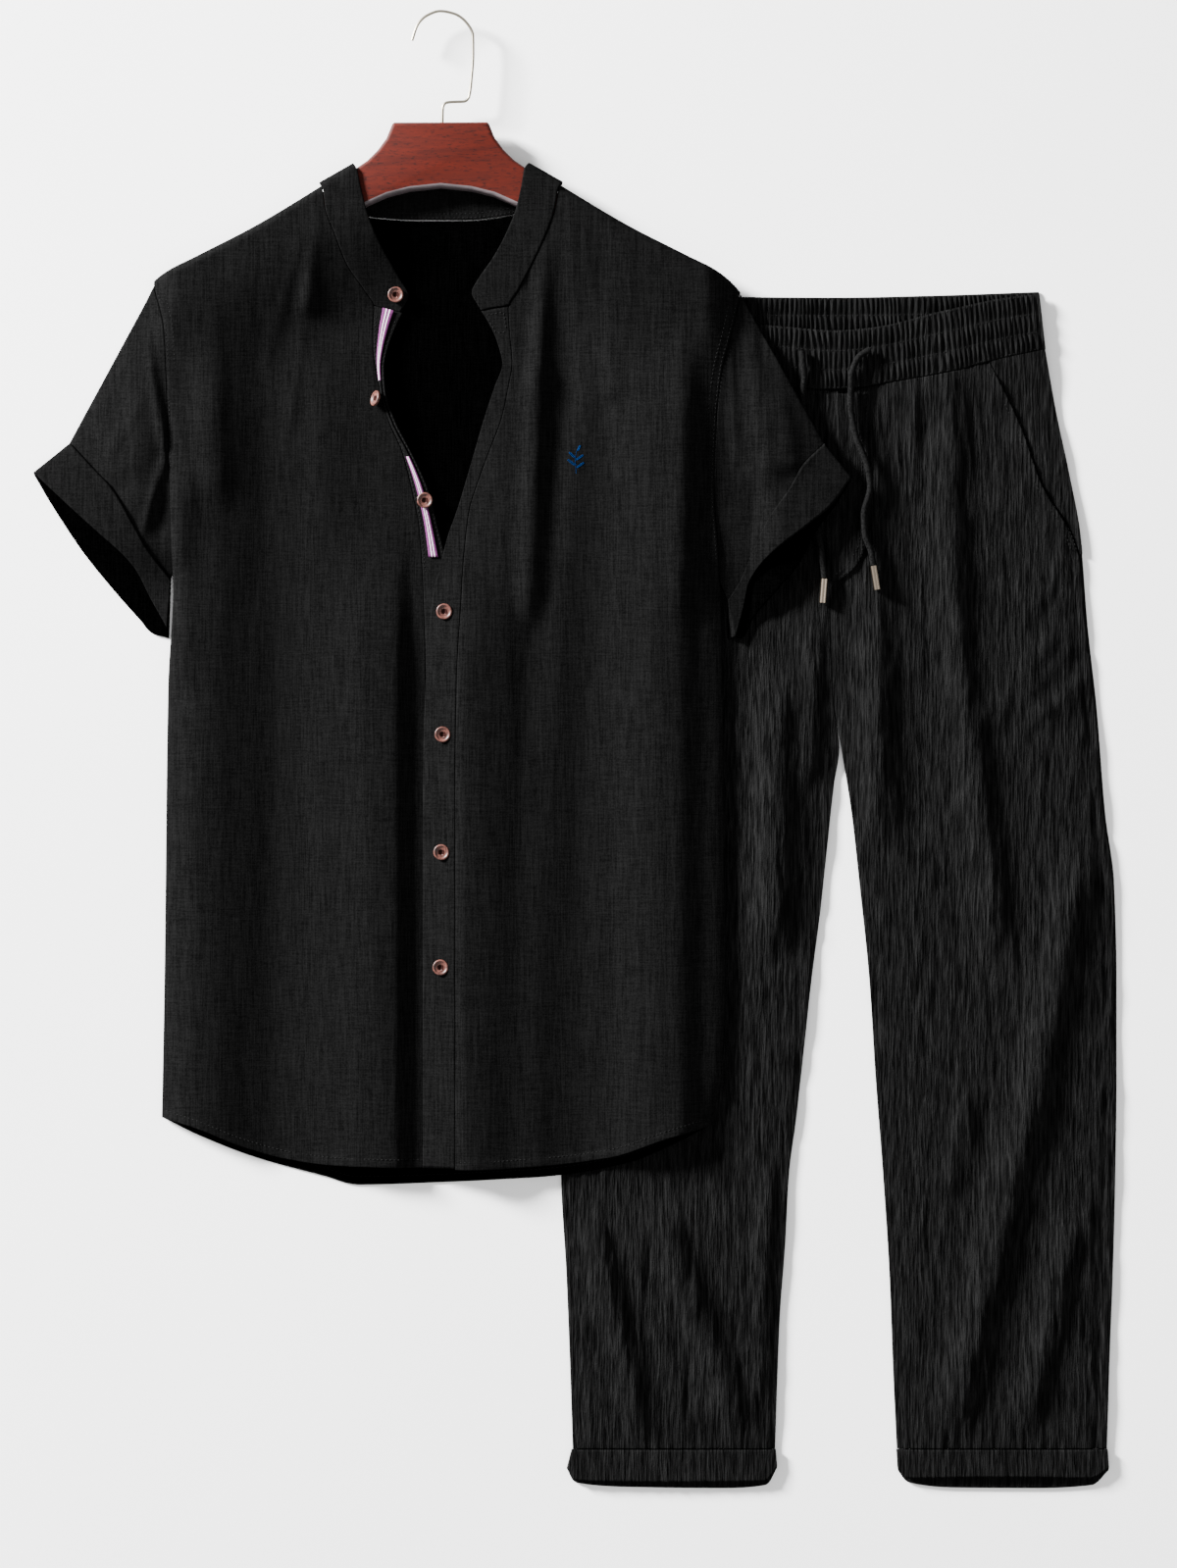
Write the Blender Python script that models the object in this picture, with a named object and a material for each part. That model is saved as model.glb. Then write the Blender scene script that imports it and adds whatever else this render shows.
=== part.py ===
"""A black band-collar shirt on a wooden hanger, lying over black drawstring trousers, both laid flat.

Tables and lengths are in millimetres and become metres when a mesh is made. +X is to the viewer's
right, +Y towards the hanger's hook and +Z up from the surface that the set lies on. The origin is
on that surface, under the middle of the whole set. Left and right are the viewer's.
"""
import math

import bmesh
import bpy
import numpy as np
from mathutils import Vector

MM = 0.001

# Cloth walls and the gaps that part them
SHIRT_WALL = 1.2
CUFF_WALL = 2.2
COLLAR_WALL = 2.0
TROUSER_WALL = 1.5
BAND_WALL = 1.9
TAPE_WALL = 1.0
LAYER_GAP = 0.3
SEAM_GAP = 0.6
FLY_GAP = 1.1
STEEPEST_WALL = 1.7

# Hanger: a flat wooden pair of arms that tilts a little, with one end on the trousers' waistband
HANGER_X = -106.5
HANGER_THICK = 12.0
HANGER_Z_MIDDLE = 6.3
HANGER_SLOPE = 0.0175
HANGER_EDGE = 3.0
ARM_LOW_INNER = (62.0, 433.0)
ARM_LOW_OUTER = (211.0, 360.0)
ARM_REACH = (208.0, 240.0)
NECK_REACH = 94.0
WRAP_DROP = 7.0
WRAP_BACK = 5.5
WRAP_FRONT = 5.4

# Heights at which the shirt lies where something is under it
ON_TROUSERS = 3.8
ON_WAISTBAND = 7.4
ON_CORD = 11.4
LEAST_LOFT = 1.3
STEP_LOFT = 1.6

BUTTON_RADIUS = 6.25
CORD_DIAMETER = 5.0
TIP_DIAMETER = 5.8
TIP_LENGTH = 19.0
HOOK_WIRE = 2.4

# Waistband: its gathers, and where the front layer lies off the back one and arches
WAIST_WAVES = 80
BAND_GAP = 1.5
BAND_RISE = 2.2
BAND_RISE_X = 312.0
BAND_RISE_WIDTH = 42.0

# Distances down the shirt's panels at which their nets have a row
WRAP_ROWS = (0, 1.3, 3.2, 5.6, 8, 14, 24)
FRONT_ROWS = (36, 48, 61, 74, 87.4, 97, 108, 122, 140, 162, 188, 218, 252, 290, 340, 395, 455, 520, 590,
              660, 720)
BACK_ROWS = (40, 62, 90, 130, 180, 240, 310, 390, 470, 550, 640, 720)
BACK_COLUMNS = (-335, -300, -262, -225, -203.5, -199.5, -195, -188, -160, -123, -87, -55, -36, -24, -18,
                -13.5,
                -9.5, 10, 35, 62, 90, 112, 131)

# Edges that run down the garments: (y, x)
SHIRT_SIDE_LEFT = ((370, -335), (332, -326), (246, -323), (129, -320), (51, -324), (-183, -327), (-292, -329))
SHIRT_SIDE_RIGHT = ((363, 131), (332, 124), (300, 116), (261, 112), (207, 110), (160, 113), (98, 116),
                    (-27, 118), (-183, 119), (-261, 116), (-299, 106))
NECK_AND_STAND_SEAM = ((448.5, -200.5), (429, -198), (410, -191), (385, -181), (366, -168), (352, -160),
                       (335, -161), (320, -161), (304, -159), (285, -155), (261, -148), (238, -138),
                       (207, -130), (176, -124), (129, -121), (60, -119), (-332, -119))
NECK_AND_PLACKET_SEAM = ((448.5, -12.5), (425, -17), (402, -26), (382, -36), (366, -45), (352, -53),
                         (332, -52), (308, -50), (289, -53), (265, -58), (238, -68), (214, -77), (191, -84),
                         (168, -87), (144, -89), (125, -90), (51, -94), (-27, -95), (-332, -95))
STAND_FREE = ((347, -137), (335, -143), (320, -149), (304, -152), (285, -151), (261, -143), (238, -131),
              (207, -117), (176, -109), (152, -103), (129, -98), (60, -96), (-332, -96))
PLACKET_FREE = ((349, -77), (339, -70), (324, -62), (307, -58), (289, -64), (265, -72), (238, -80),
                (214, -87),
                (191, -94), (168, -102), (144, -108), (125, -113), (51, -119), (-27, -121), (-332, -121))
TROUSER_SIDE_LEFT = ((320, 39), (246, 25), (172, 14), (98, 6), (35, 0), (-51, -5), (-144, -8), (-261, -10),
                     (-339, -11), (-417, -7), (-495, -4), (-558, -2))
TROUSER_SIDE_RIGHT = ((320, 374), (269, 383), (222, 393), (172, 402), (98, 408), (35, 415), (-51, 422),
                      (-105, 429), (-183, 431), (-261, 431), (-339, 430), (-417, 428), (-495, 425),
                      (-558, 423))
CENTRE_TO_INNER_LEFT = ((300, 201), (287, 201), (129, 202.5), (45, 205), (0, 210), (-27, 206), (-82, 200),
                        (-129, 195), (-183, 188), (-238, 182), (-292, 176), (-339, 170), (-394, 167),
                        (-448, 163), (-495, 161), (-558, 159))
CENTRE_TO_INNER_RIGHT = ((300, 201), (287, 201), (129, 202.5), (45, 205), (0, 212), (-51, 220), (-105, 226),
                         (-183, 234), (-261, 239), (-339, 245), (-417, 250), (-495, 253), (-558, 256))
POCKET_MOUTH_RIGHT = ((330, 323), (314, 329), (254, 358), (211, 373), (172, 396), (150, 403.5))
POCKET_MOUTH_LEFT = ((330, 85), (314, 79), (254, 51), (211, 37), (172, 16), (150, 12))
FLY_RIGHT = ((300, 233), (180, 233), (160, 230), (148, 224), (138, 214), (132, 204))

# Edges that run across: (x, y)
SHOULDER = ((60, 470), (67.5, 465), (97, 446.5), (148, 416), (195, 392), (222, 378), (237, 364), (300, 250))
BACK_NECK = ((-203.5, 446.5), (-188, 435), (-160, 423), (-123, 421), (-87, 421), (-45, 426), (-24, 436),
             (-9.5, 446.5))
HEM_BACK = ((-329, -292), (-301, -306), (-255, -324), (-200, -339), (-173, -346), (-106, -344), (-21, -339),
            (42, -328), (81, -312), (106, -299))
HEM_LEFT = ((-329, -292), (-301, -300), (-262, -316), (-231, -325), (-192, -330), (-119, -332))
HEM_RIGHT = ((-95, -333), (-83, -333), (-21, -330), (26, -324), (73, -308), (106, -299))
BAND_FRONT_TOP = ((40, 361), (104, 343), (167, 337), (206, 334), (234, 336), (291, 349), (344, 360),
                  (369, 363))
BAND_FRONT_LOW = ((37, 317), (89, 302), (151, 291), (206, 287), (259, 294), (299, 301), (333, 310),
                  (374, 319))
BAND_BACK_TOP = ((41, 362), (131, 361), (206, 360.5), (284, 362), (369, 365))
BAND_BACK_LOW = ((37, 318), (374, 320))

# Sleeves and cuffs, each listed from the outer fold to the underarm: (x, y)
ARMHOLE_ROWS = (369, 350, 332, 300, 272, 246, 207, 170, 141)
CUFF_SEAM_LEFT = ((-403, 243.5), (-384, 223), (-369, 207), (-352, 178), (-342, 160), (-328, 134))
CUFF_FRONT_LEFT = ((-431, 221), (-401, 193), (-380, 174), (-359, 155), (-350, 143), (-343, 122), (-334, 98))
CUFF_BACK_LEFT = ((-431, 219), (-418, 197), (-390, 155), (-363, 122), (-346, 103), (-338, 93), (-327, 89))
CUFF_SEAM_RIGHT = ((198, 242), (181, 225), (170, 206), (154, 183), (142, 158), (133, 136), (122, 118))
CUFF_FRONT_RIGHT = ((219, 216), (202, 193), (185, 179), (160, 160), (145, 145), (137, 131), (133, 112),
                    (127, 90))
CUFF_BACK_RIGHT = ((219, 214), (207, 195), (192, 175), (177, 147), (156, 122), (142, 106), (131, 88),
                   (121, 88))

# Collar band: its sewn and its free edge on the front, from the collar's end to the side neck: (x, y)
BAND_SEWN_LEFT = ((-139.5, 348.5), (-149, 351), (-158.4, 353.5), (-167, 367), (-180, 386), (-190, 411),
                  (-197, 430))
BAND_FREE_LEFT = ((-131.5, 361), (-135, 368), (-139, 374), (-147, 388), (-155, 402), (-165, 427), (-170, 447))
BAND_SEWN_RIGHT = ((-75, 350), (-66, 352), (-56, 353.5), (-46.5, 367), (-37, 383), (-27, 403), (-18, 426))
BAND_FREE_RIGHT = ((-83.5, 364), (-79, 372), (-75, 378), (-66, 390), (-56, 407), (-47, 428), (-42.5, 447))
BAND_FOLD = ((90, 446), (66, 460))
BAND_FOLD_RADIUS = 6.0
BAND_BACK_SEWN = ((-186, 435.5), (-160, 424), (-123, 422), (-87, 422), (-46, 427), (-26, 436.5))
BAND_BACK_FREE = ((-160, 456), (-142, 452), (-120, 450.5), (-92, 450.5), (-70, 452), (-53, 456))
STAND_LIFT = ((347, 1), (320, 3), (304, 5), (285, 6.5), (261, 6), (238, 4), (207, 2.2), (185, 0.8), (172, 0))

# Folds: from x, y; to x, y; half-width; height
SHIRT_FOLDS = (
    (-312, 215, -314, 60, 9, 2.0), (-207, 425, -212, 350, 8, 3.0), (-290, 360, -285, 200, 14, 1.8),
    (-46, 428, -44, 372, 5, 2.0), (-23, 420, -30, 290, 7, 2.6), (-30, 300, -36, 110, 10, 3.2),
    (90, 330, 84, 120, 16, 2.5), (-352, 330, -340, 190, 18, 3.0), (-385, 290, -362, 215, 14, 2.0),
    (142, 330, 152, 215, 12, 3.0), (165, 280, 172, 222, 10, 2.0))
TROUSER_FOLDS = (
    (232, 290, 236, 150, 15, 2.2), (237, 150, 243, -60, 15, 3.6), (268, 290, 269, 205, 6, 1.6),
    (296, 300, 299, 120, 13, 3.6),
    (299, 130, 337, -160, 13, 3.4), (381, 92, 330, 22, 9, 2.2), (364, 30, 404, 40, 9, 1.6),
    (400, -95, 361, -295, 14, 3.8), (361, -285, 301, -530, 14, 3.8), (397, -375, 360, -530, 11, 2.6),
    (314, -270, 298, -350, 9, 1.6), (161, 50, 157, -150, 16, 4.0), (190, 105, 186, -20, 8, 2.0),
    (118, -160, 154, -194, 8, 2.0), (51, -330, 130, -535, 13, 3.6), (12, -370, 52, -535, 10, 2.8),
    (155, -340, 150, -520, 9, 2.0))

# Broad folds in which the shirt's body hangs below the chest: (x, height)
SHIRT_DRAPE = ((-330, 0), (-297, 4.5), (-288, 4.6), (-236, 0.8), (-224, 0.8), (-153, 5.6), (-143, 5.4),
               (-130, 1.6), (-121, 1.4), (-102, 2.6), (-84, 2.8), (-66, 2.6), (8, 0.5), (14, 0.5), (70, 5.6),
               (80, 5.6), (103, 2.4), (112, 2.2), (130, 2.2))
DRAPE_SIDES = (250, 380)
DRAPE_MIDDLE = (60, 200)

# Buttons down the shirt: x, y, layer under it, tilt in degrees
BUTTONS = ((-142.7, 362, "collar", 0), (-157.5, 279, "stand", 60), (-119.5, 198.5, "tape", 0),
           (-104, 110, "placket", 0), (-105.2, 12.5, "placket", 0), (-106.2, -81, "placket", 0),
           (-106.9, -172.4, "placket", 0))

# Drawcord ends as they lie, from the waistband's eyelet to the metal tip: (x, y, z)
CORD_LEFT = ((180, 317, 10.2), (181, 306, 10.4), (182, 296, 9.6), (180.5, 283, 8.0), (181, 261, 7.2),
             (185, 222, 7.1), (191, 183, 7.8), (195, 160, 8.8), (198, 137, 9.2))
CORD_RIGHT = ((234, 318, 10.4), (225, 312, 10.6), (219, 296, 10.6), (218.6, 276, 10.2), (222.7, 249.6, 10.7),
              (232, 224.6, 11.6), (234, 209, 11.8), (229, 187, 11.6), (230, 171, 11.6), (235, 157, 11.3),
              (236.5, 147, 11.1))
TIP_END_LEFT = (196.5, 117.5, 8.4)
TIP_END_RIGHT = (239.5, 128.5, 11.3)

# Hook of wire, from its foot in the hanger to its free tip: (x, y)
HOOK_ROUTE = ((-105.5, 497.85), (-105.0, 510.0), (-102.5, 513.6), (-98.0, 514.2), (-88.0, 514.6),
              (-84.4, 518.0), (-82.4, 532.0), (-81.0, 553.0), (-81.2, 567.0), (-87.0, 578.0), (-96.0, 584.2),
              (-107.0, 586.3), (-118.0, 582.6), (-125.0, 575.5), (-129.5, 563.0))


def smooth(start, end, value):
    """0 at start, 1 at end, and a soft step between."""
    t = np.clip((np.asarray(value, float) - start) / (end - start), 0.0, 1.0)
    return t * t * (3.0 - 2.0 * t)


def read(table, key):
    """The table's second column at a key, on a smooth curve through its rows."""
    rows = np.array(sorted(table), float)
    keys, values = rows[:, 0], rows[:, 1]
    slopes = np.diff(values) / np.diff(keys)
    tangents = np.concatenate((slopes[:1], slopes[:-1], slopes[-1:]))
    if len(slopes) > 1:
        same = slopes[:-1] * slopes[1:] > 0
        pair = np.where(same, slopes[:-1] + slopes[1:], 1.0)
        inner = np.where(same, 2 * slopes[:-1] * slopes[1:] / pair, 0)
        tangents = np.concatenate((slopes[:1], inner, slopes[-1:]))
    key = np.clip(np.asarray(key, float), keys[0], keys[-1])
    i = np.clip(np.searchsorted(keys, key) - 1, 0, len(keys) - 2)
    span = keys[i + 1] - keys[i]
    t = (key - keys[i]) / span
    rise = (1 + 2 * t) * (1 - t) ** 2 * values[i] + t * t * (3 - 2 * t) * values[i + 1]
    return rise + span * (t * (1 - t) ** 2 * tangents[i] - t * t * (1 - t) * tangents[i + 1])


def along(points, t):
    """Points of any dimension at fractions t of the way along a smooth curve through a short list."""
    points = np.array(points, float)
    steps = np.linalg.norm(np.diff(points, axis=0), axis=1)
    way = np.concatenate(([0.0], np.cumsum(steps))) / steps.sum()
    return np.stack([read(tuple(zip(way, column)), t) for column in points.T], axis=-1)


def down(table, y_start, y_end, shift=0.0):
    """An edge that runs down: fractions to points."""
    def edge(t):
        y = y_start + (y_end - y_start) * np.asarray(t, float)
        return np.stack([read(table, y) + shift, y], axis=-1)
    return edge


def across(table, x_start, x_end, shift=0.0):
    """An edge that runs across: fractions to points."""
    def edge(t):
        x = x_start + (x_end - x_start) * np.asarray(t, float)
        return np.stack([x, read(table, x) + shift], axis=-1)
    return edge


def patch(top, bottom, left, right, rows, columns):
    """A net of x and y between four edges, at the given fractions down and across."""
    u, v = np.asarray(columns)[None, :, None], np.asarray(rows)[:, None, None]
    t, b, l, r = top(columns)[None], bottom(columns)[None], left(rows)[:, None], right(rows)[:, None]
    corners = ((1 - u) * (1 - v) * l[:1] + u * (1 - v) * r[:1] + (1 - u) * v * l[-1:] + u * v * r[-1:])
    net = (1 - v) * t + v * b + (1 - u) * l + u * r - corners
    return net[..., 0], net[..., 1]


def rows_below_shoulder(lower):
    """Fractions down a shirt panel: close where it wraps the hanger, then as listed."""
    rows = np.array(WRAP_ROWS + lower)
    return rows / rows[-1]


def fold_height(x, y, table):
    """Soft ridges, each along its own line."""
    total = np.zeros(np.broadcast(x, y).shape)
    for x1, y1, x2, y2, width, height in table:
        dx, dy = x2 - x1, y2 - y1
        length = math.hypot(dx, dy)
        t = ((x - x1) * dx + (y - y1) * dy) / length ** 2
        off = ((x - x1) * dy - (y - y1) * dx) / length
        ends = smooth(-0.12, 0.12, t) * (1 - smooth(0.88, 1.12, t))
        total = total + height * ends * np.exp(-(off / width) ** 2)
    return total


def hanger_low(x):
    """Underside of the hanger."""
    return HANGER_Z_MIDDLE + HANGER_SLOPE * (x - HANGER_X)


def below_arm(x, y):
    """Distance below the lower edge of the hanger's arm."""
    reach = np.abs(x - HANGER_X)
    (s1, y1), (s2, y2) = ARM_LOW_INNER, ARM_LOW_OUTER
    length = math.hypot(s2 - s1, y2 - y1)
    return ((reach - s1) * (y2 - y1) - (y - y1) * (s2 - s1)) / length


def shoulder_wrap(x, y):
    """0 along the shoulder seam and 1 where the cloth has turned round the arm's edge."""
    under_seam = read(SHOULDER, np.abs(x - HANGER_X)) - y
    return np.sin(0.5 * math.pi * np.clip(under_seam / WRAP_DROP, 0.0, 1.0))


def near_hanger(x):
    return 1 - smooth(*ARM_REACH, np.abs(x - HANGER_X))


def shirt_ground(x, y):
    """Height at which the shirt's back layer lies: the floor, the trousers, their waistband or a cord."""
    side = read(TROUSER_SIDE_LEFT, y)
    legs = ON_TROUSERS * smooth(-44, -14, x - side) * (1 - smooth(330, 378, y))
    band = ON_WAISTBAND * smooth(8, 32, x) * smooth(262, 286, y) * (1 - smooth(366, 384, y))
    cord = ON_CORD * smooth(122, 166, x)
    return np.maximum(np.maximum(legs, band), cord)


def shirt_back_low(x, y):
    """Underside of the shirt's back layer."""
    ground = shirt_ground(x, y)
    held = near_hanger(x) * (1 - smooth(0, 70, below_arm(x, y)))
    lifted = np.maximum(ground, hanger_low(x) - SHIRT_WALL - 0.7)
    return ground + (lifted - ground) * held + near_hanger(x) * WRAP_BACK * (1 - shoulder_wrap(x, y))


def shirt_drape(x, y):
    """The body's broad folds, which fade out towards the shoulders and, at the opening, lower down."""
    middle = np.exp(-(np.abs(x + 130) / 75) ** 4)
    fade_sides, fade_middle = 1 - smooth(*DRAPE_SIDES, y), 1 - smooth(*DRAPE_MIDDLE, y)
    return read(SHIRT_DRAPE, x) * (fade_sides + (fade_middle - fade_sides) * middle)


def shirt_loft(x, y):
    """How far the front layer stands off the back layer: nothing at the side seams, then soft folds."""
    inside = np.minimum(x - read(SHIRT_SIDE_LEFT, y), read(SHIRT_SIDE_RIGHT, y) - x)
    body = smooth(0, 22, inside)
    open_to_sleeve = smooth(125, 165, y)
    over_step = STEP_LOFT * np.exp(-((x - read(TROUSER_SIDE_LEFT, y) + 26) / 28) ** 2)
    folds = fold_height(x, y, SHIRT_FOLDS) + shirt_drape(x, y)
    return (body + (1 - body) * open_to_sleeve) * (LEAST_LOFT + over_step + folds)


def shirt_front_low(x, y, fullness=1.0, over_stand=0.0):
    """Underside of the shirt's front layer, which tents down from the hanger's arms."""
    lying = shirt_ground(x, y) + SHIRT_WALL + LAYER_GAP + fullness * shirt_loft(x, y)
    tent = near_hanger(x) * (1 - smooth(0, 85, below_arm(x, y)))
    height = lying + (hanger_low(x) + HANGER_THICK + 0.4 - lying) * tent
    step = (SHIRT_WALL + 0.6) * (1 - smooth(-95, -30, x)) * (1 - smooth(176, 205, y))
    return height - near_hanger(x) * WRAP_FRONT * (1 - shoulder_wrap(x, y)) + over_stand * step


def over_stand_low(x, y):
    """Underside of the buttonhole side and its placket, which lie over the button side's stand."""
    return shirt_front_low(x, y, over_stand=1.0)


def trouser_front_low(x, y):
    """Underside of the trousers' front layer: flat where the shirt hides it, folded where it shows."""
    past_hem = -354 - y
    past_sleeve = np.minimum(x - 124, 0.62 * (1.25 * (x - 118) + 72 - y))
    shown = smooth(0, 30, np.maximum(np.maximum(past_hem, past_sleeve), x - 224))
    inside = np.minimum(x - read(TROUSER_SIDE_LEFT, y), read(TROUSER_SIDE_RIGHT, y) - x)
    from_seams = np.maximum(read(CENTRE_TO_INNER_LEFT, y) - x, x - read(CENTRE_TO_INNER_RIGHT, y))
    leg_gap = np.where(y < 0, from_seams, 99)
    rounded = smooth(0, 20, np.minimum(inside, leg_gap))
    return TROUSER_WALL + LAYER_GAP + rounded * shown * (1.0 + fold_height(x, y, TROUSER_FOLDS))


def wall_top(low, wall, x, y):
    """Upper side of a wall whose true thickness is kept where it slopes."""
    step = 0.5
    slope_x = (low(x + step, y) - low(x - step, y)) / (2 * step)
    slope_y = (low(x, y + step) - low(x, y - step)) / (2 * step)
    return low(x, y) + wall * np.minimum(np.sqrt(1 + slope_x ** 2 + slope_y ** 2), STEEPEST_WALL)


def finish(name, colour, roughness, metallic=0.0):
    """A plain material of one colour."""
    material = bpy.data.materials.new(name)
    material.use_nodes = True
    shader = material.node_tree.nodes["Principled BSDF"]
    shader.inputs["Base Color"].default_value = (*colour, 1.0)
    shader.inputs["Roughness"].default_value = roughness
    shader.inputs["Metallic"].default_value = metallic
    return material


def add_object(name, data, material):
    data.materials.append(material)
    thing = bpy.data.objects.new(name, data)
    bpy.context.scene.collection.objects.link(thing)
    return thing


def add_solid(name, points, faces, material, sharp=35):
    """A closed mesh from points in millimetres, with its faces turned outwards."""
    mesh = bpy.data.meshes.new(name)
    mesh.from_pydata([tuple(float(c) * MM for c in p) for p in points], [], faces)
    shape = bmesh.new()
    shape.from_mesh(mesh)
    bmesh.ops.recalc_face_normals(shape, faces=shape.faces)
    shape.to_mesh(mesh)
    shape.free()
    mesh.shade_smooth()
    mesh.set_sharp_from_angle(angle=math.radians(sharp))
    return add_object(name, mesh, material)


def net_faces(rows, columns, start=0, closed=False):
    """Quads of a net of points, also across its last column where it is closed."""
    faces = []
    for i in range(rows - 1):
        for j in range(columns if closed else columns - 1):
            a, b = start + i * columns + j, start + i * columns + (j + 1) % columns
            faces.append((a, b, b + columns, a + columns))
    return faces


def rim(rows, columns):
    """Point numbers round the edge of a net, in order."""
    top = list(range(columns))
    right = [i * columns + columns - 1 for i in range(1, rows)]
    bottom = [(rows - 1) * columns + j for j in range(columns - 2, -1, -1)]
    left = [i * columns for i in range(rows - 2, 0, -1)]
    return top + right + bottom + left


def add_panel(name, net, low, wall, material):
    """A cloth panel: a net of points on its underside, the same net moved out, and a rim."""
    x, y = net
    rows, columns = x.shape
    under = np.stack([x, y, low(x, y)], axis=-1).reshape(-1, 3)
    upper = np.stack([x, y, wall_top(low, wall, x, y)], axis=-1).reshape(-1, 3)
    count = len(under)
    faces = net_faces(rows, columns) + net_faces(rows, columns, count)
    edge = rim(rows, columns)
    faces += [(a, b, b + count, a + count) for a, b in zip(edge, edge[1:] + edge[:1])]
    return add_solid(name, np.concatenate((under, upper)), faces, material)


def face_normals(sewn, free):
    """Directions square to a strip that runs towards -Y, on its upper side where free lies at +X."""
    run = np.gradient((sewn + free) / 2, axis=0)
    side = np.cross(run, free - sewn)
    return side / np.linalg.norm(side, axis=1)[:, None]


def add_ribbon(name, sewn, free, wall, material, columns=2):
    """A strip of cloth between two 3-D edges, with its wall set square to its face."""
    count = len(sewn)
    side = face_normals(sewn, free)
    shares = np.linspace(0, 1, columns)
    face = [sewn + (free - sewn) * share for share in shares]
    ring = [p + side * wall / 2 for p in face] + [p - side * wall / 2 for p in reversed(face)]
    points = np.stack(ring, axis=1).reshape(-1, 3)
    faces = net_faces(count, 2 * columns, 0, closed=True)
    last = (count - 1) * 2 * columns
    faces += [tuple(range(2 * columns)), tuple(range(last, last + 2 * columns))]
    return add_solid(name, points, faces, material)


def add_tube_of_cloth(name, start, front, back, wall, heights, material, columns=11, stations=6):
    """A flattened tube, open at both ends: a front and a back layer joined along two folds."""
    u = np.linspace(0, 1, columns)
    points = []
    for share in np.linspace(0, 1, stations):
        head, tail_front, tail_back = along(start, u), along(front, u), along(back, u)
        over = head + (tail_front - head) * share
        under = head + (tail_back - head) * share
        for inner in (False, True):
            inset = wall if inner else 0.0
            for layer, order in ((over, 1), (under, -1)):
                span = layer[-1] - layer[0]
                pull = inset * np.where(u < 0.5, 1, -1) * np.clip(np.abs(2 * u - 1), 0, 1) ** 4
                plan = layer + pull[:, None] * span / np.linalg.norm(span)
                z = heights(plan[:, 0], plan[:, 1], u, wall, order == 1, inner)
                ring = np.column_stack((plan, z))
                points.append(ring if order == 1 else ring[::-1])
    size = 2 * columns
    points = np.concatenate(points)
    rings = points.reshape(stations, 2, size, 3)
    outer, inner = rings[:, 0].reshape(-1, 3), rings[:, 1].reshape(-1, 3)
    count = len(outer)
    faces = net_faces(stations, size, 0, closed=True) + net_faces(stations, size, count, closed=True)
    for first in (0, count - size):
        faces += [(first + j, first + (j + 1) % size, first + (j + 1) % size + count, first + j + count)
                  for j in range(size)]
    return add_solid(name, np.concatenate((outer, inner)), faces, material)


def sleeve_heights(x, y, u, wall, over, inner):
    """Heights round a sleeve or its cuff: the layers come together at the two folds."""
    fullness = np.sin(math.pi * np.clip(u, 0, 1)) ** 0.6
    extra = wall - SHIRT_WALL
    bottom = shirt_back_low(x, y)
    top = shirt_front_low(x, y, fullness) + 2 * extra + SHIRT_WALL
    if over:
        return top - wall if inner else top
    return bottom + wall if inner else bottom


def leg_cuff_heights(x, y, u, wall, over, inner):
    fullness = np.sin(math.pi * np.clip(u, 0, 1)) ** 0.6
    top = 2 * wall + LAYER_GAP + 1.8 * fullness
    if over:
        return np.full(x.shape, top - wall if inner else top)
    return np.full(x.shape, wall if inner else 0.0)


def add_gathered_band(name, top, low, heights, material):
    """A waistband: a plain wall whose upper side is raised in rows of narrow gathers."""
    columns = 2 * WAIST_WAVES + 1
    u = np.linspace(0, 1, columns)
    points, rows = [], len(heights)
    for share, swell in heights:
        edge = along(top, u) * (1 - share) + along(low, u) * share
        wander = 0.75 + 0.25 * np.sin(u * 71 + share * 9)
        ripple = np.where(np.arange(columns) % 2, 1.0, 0.0) * swell * wander
        points.append(np.column_stack((edge, waistband_low(name, edge[:, 0]) + BAND_WALL + ripple)))
    coarse = 21
    w = np.linspace(0, 1, coarse)
    for share in (0.0, 1.0):
        edge = along(top, w) * (1 - share) + along(low, w) * share
        points.append(np.column_stack((edge, waistband_low(name, edge[:, 0]))))
    points = np.concatenate(points)
    under = rows * columns
    faces = net_faces(rows, columns) + net_faces(2, coarse, under)
    faces += zip_faces(range(columns), range(under, under + coarse))
    faces += zip_faces(range((rows - 1) * columns, rows * columns), range(under + coarse, under + 2 * coarse))
    faces += zip_faces([i * columns for i in range(rows)], [under, under + coarse])
    faces += zip_faces([i * columns + columns - 1 for i in range(rows)],
                       [under + coarse - 1, under + 2 * coarse - 1])
    return add_solid(name, points, faces, material, sharp=80)


def waistband_low(name, x):
    """Underside of a waistband: the back one lies on the floor, the front one on the back one."""
    if name.endswith("back"):
        return np.zeros(len(x))
    return BAND_WALL + BAND_GAP + BAND_RISE * np.exp(-((x - BAND_RISE_X) / BAND_RISE_WIDTH) ** 2)


def zip_faces(first, second):
    """Triangles between two runs of points that have different counts."""
    first, second = list(first), list(second)
    faces, i, j = [], 0, 0
    while i < len(first) - 1 or j < len(second) - 1:
        if (i + 1) * (len(second) - 1) <= (j + 1) * (len(first) - 1) and i < len(first) - 1:
            faces.append((first[i], first[i + 1], second[j]))
            i += 1
        else:
            faces.append((first[i], second[j + 1], second[j]))
            j += 1
    return faces


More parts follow.
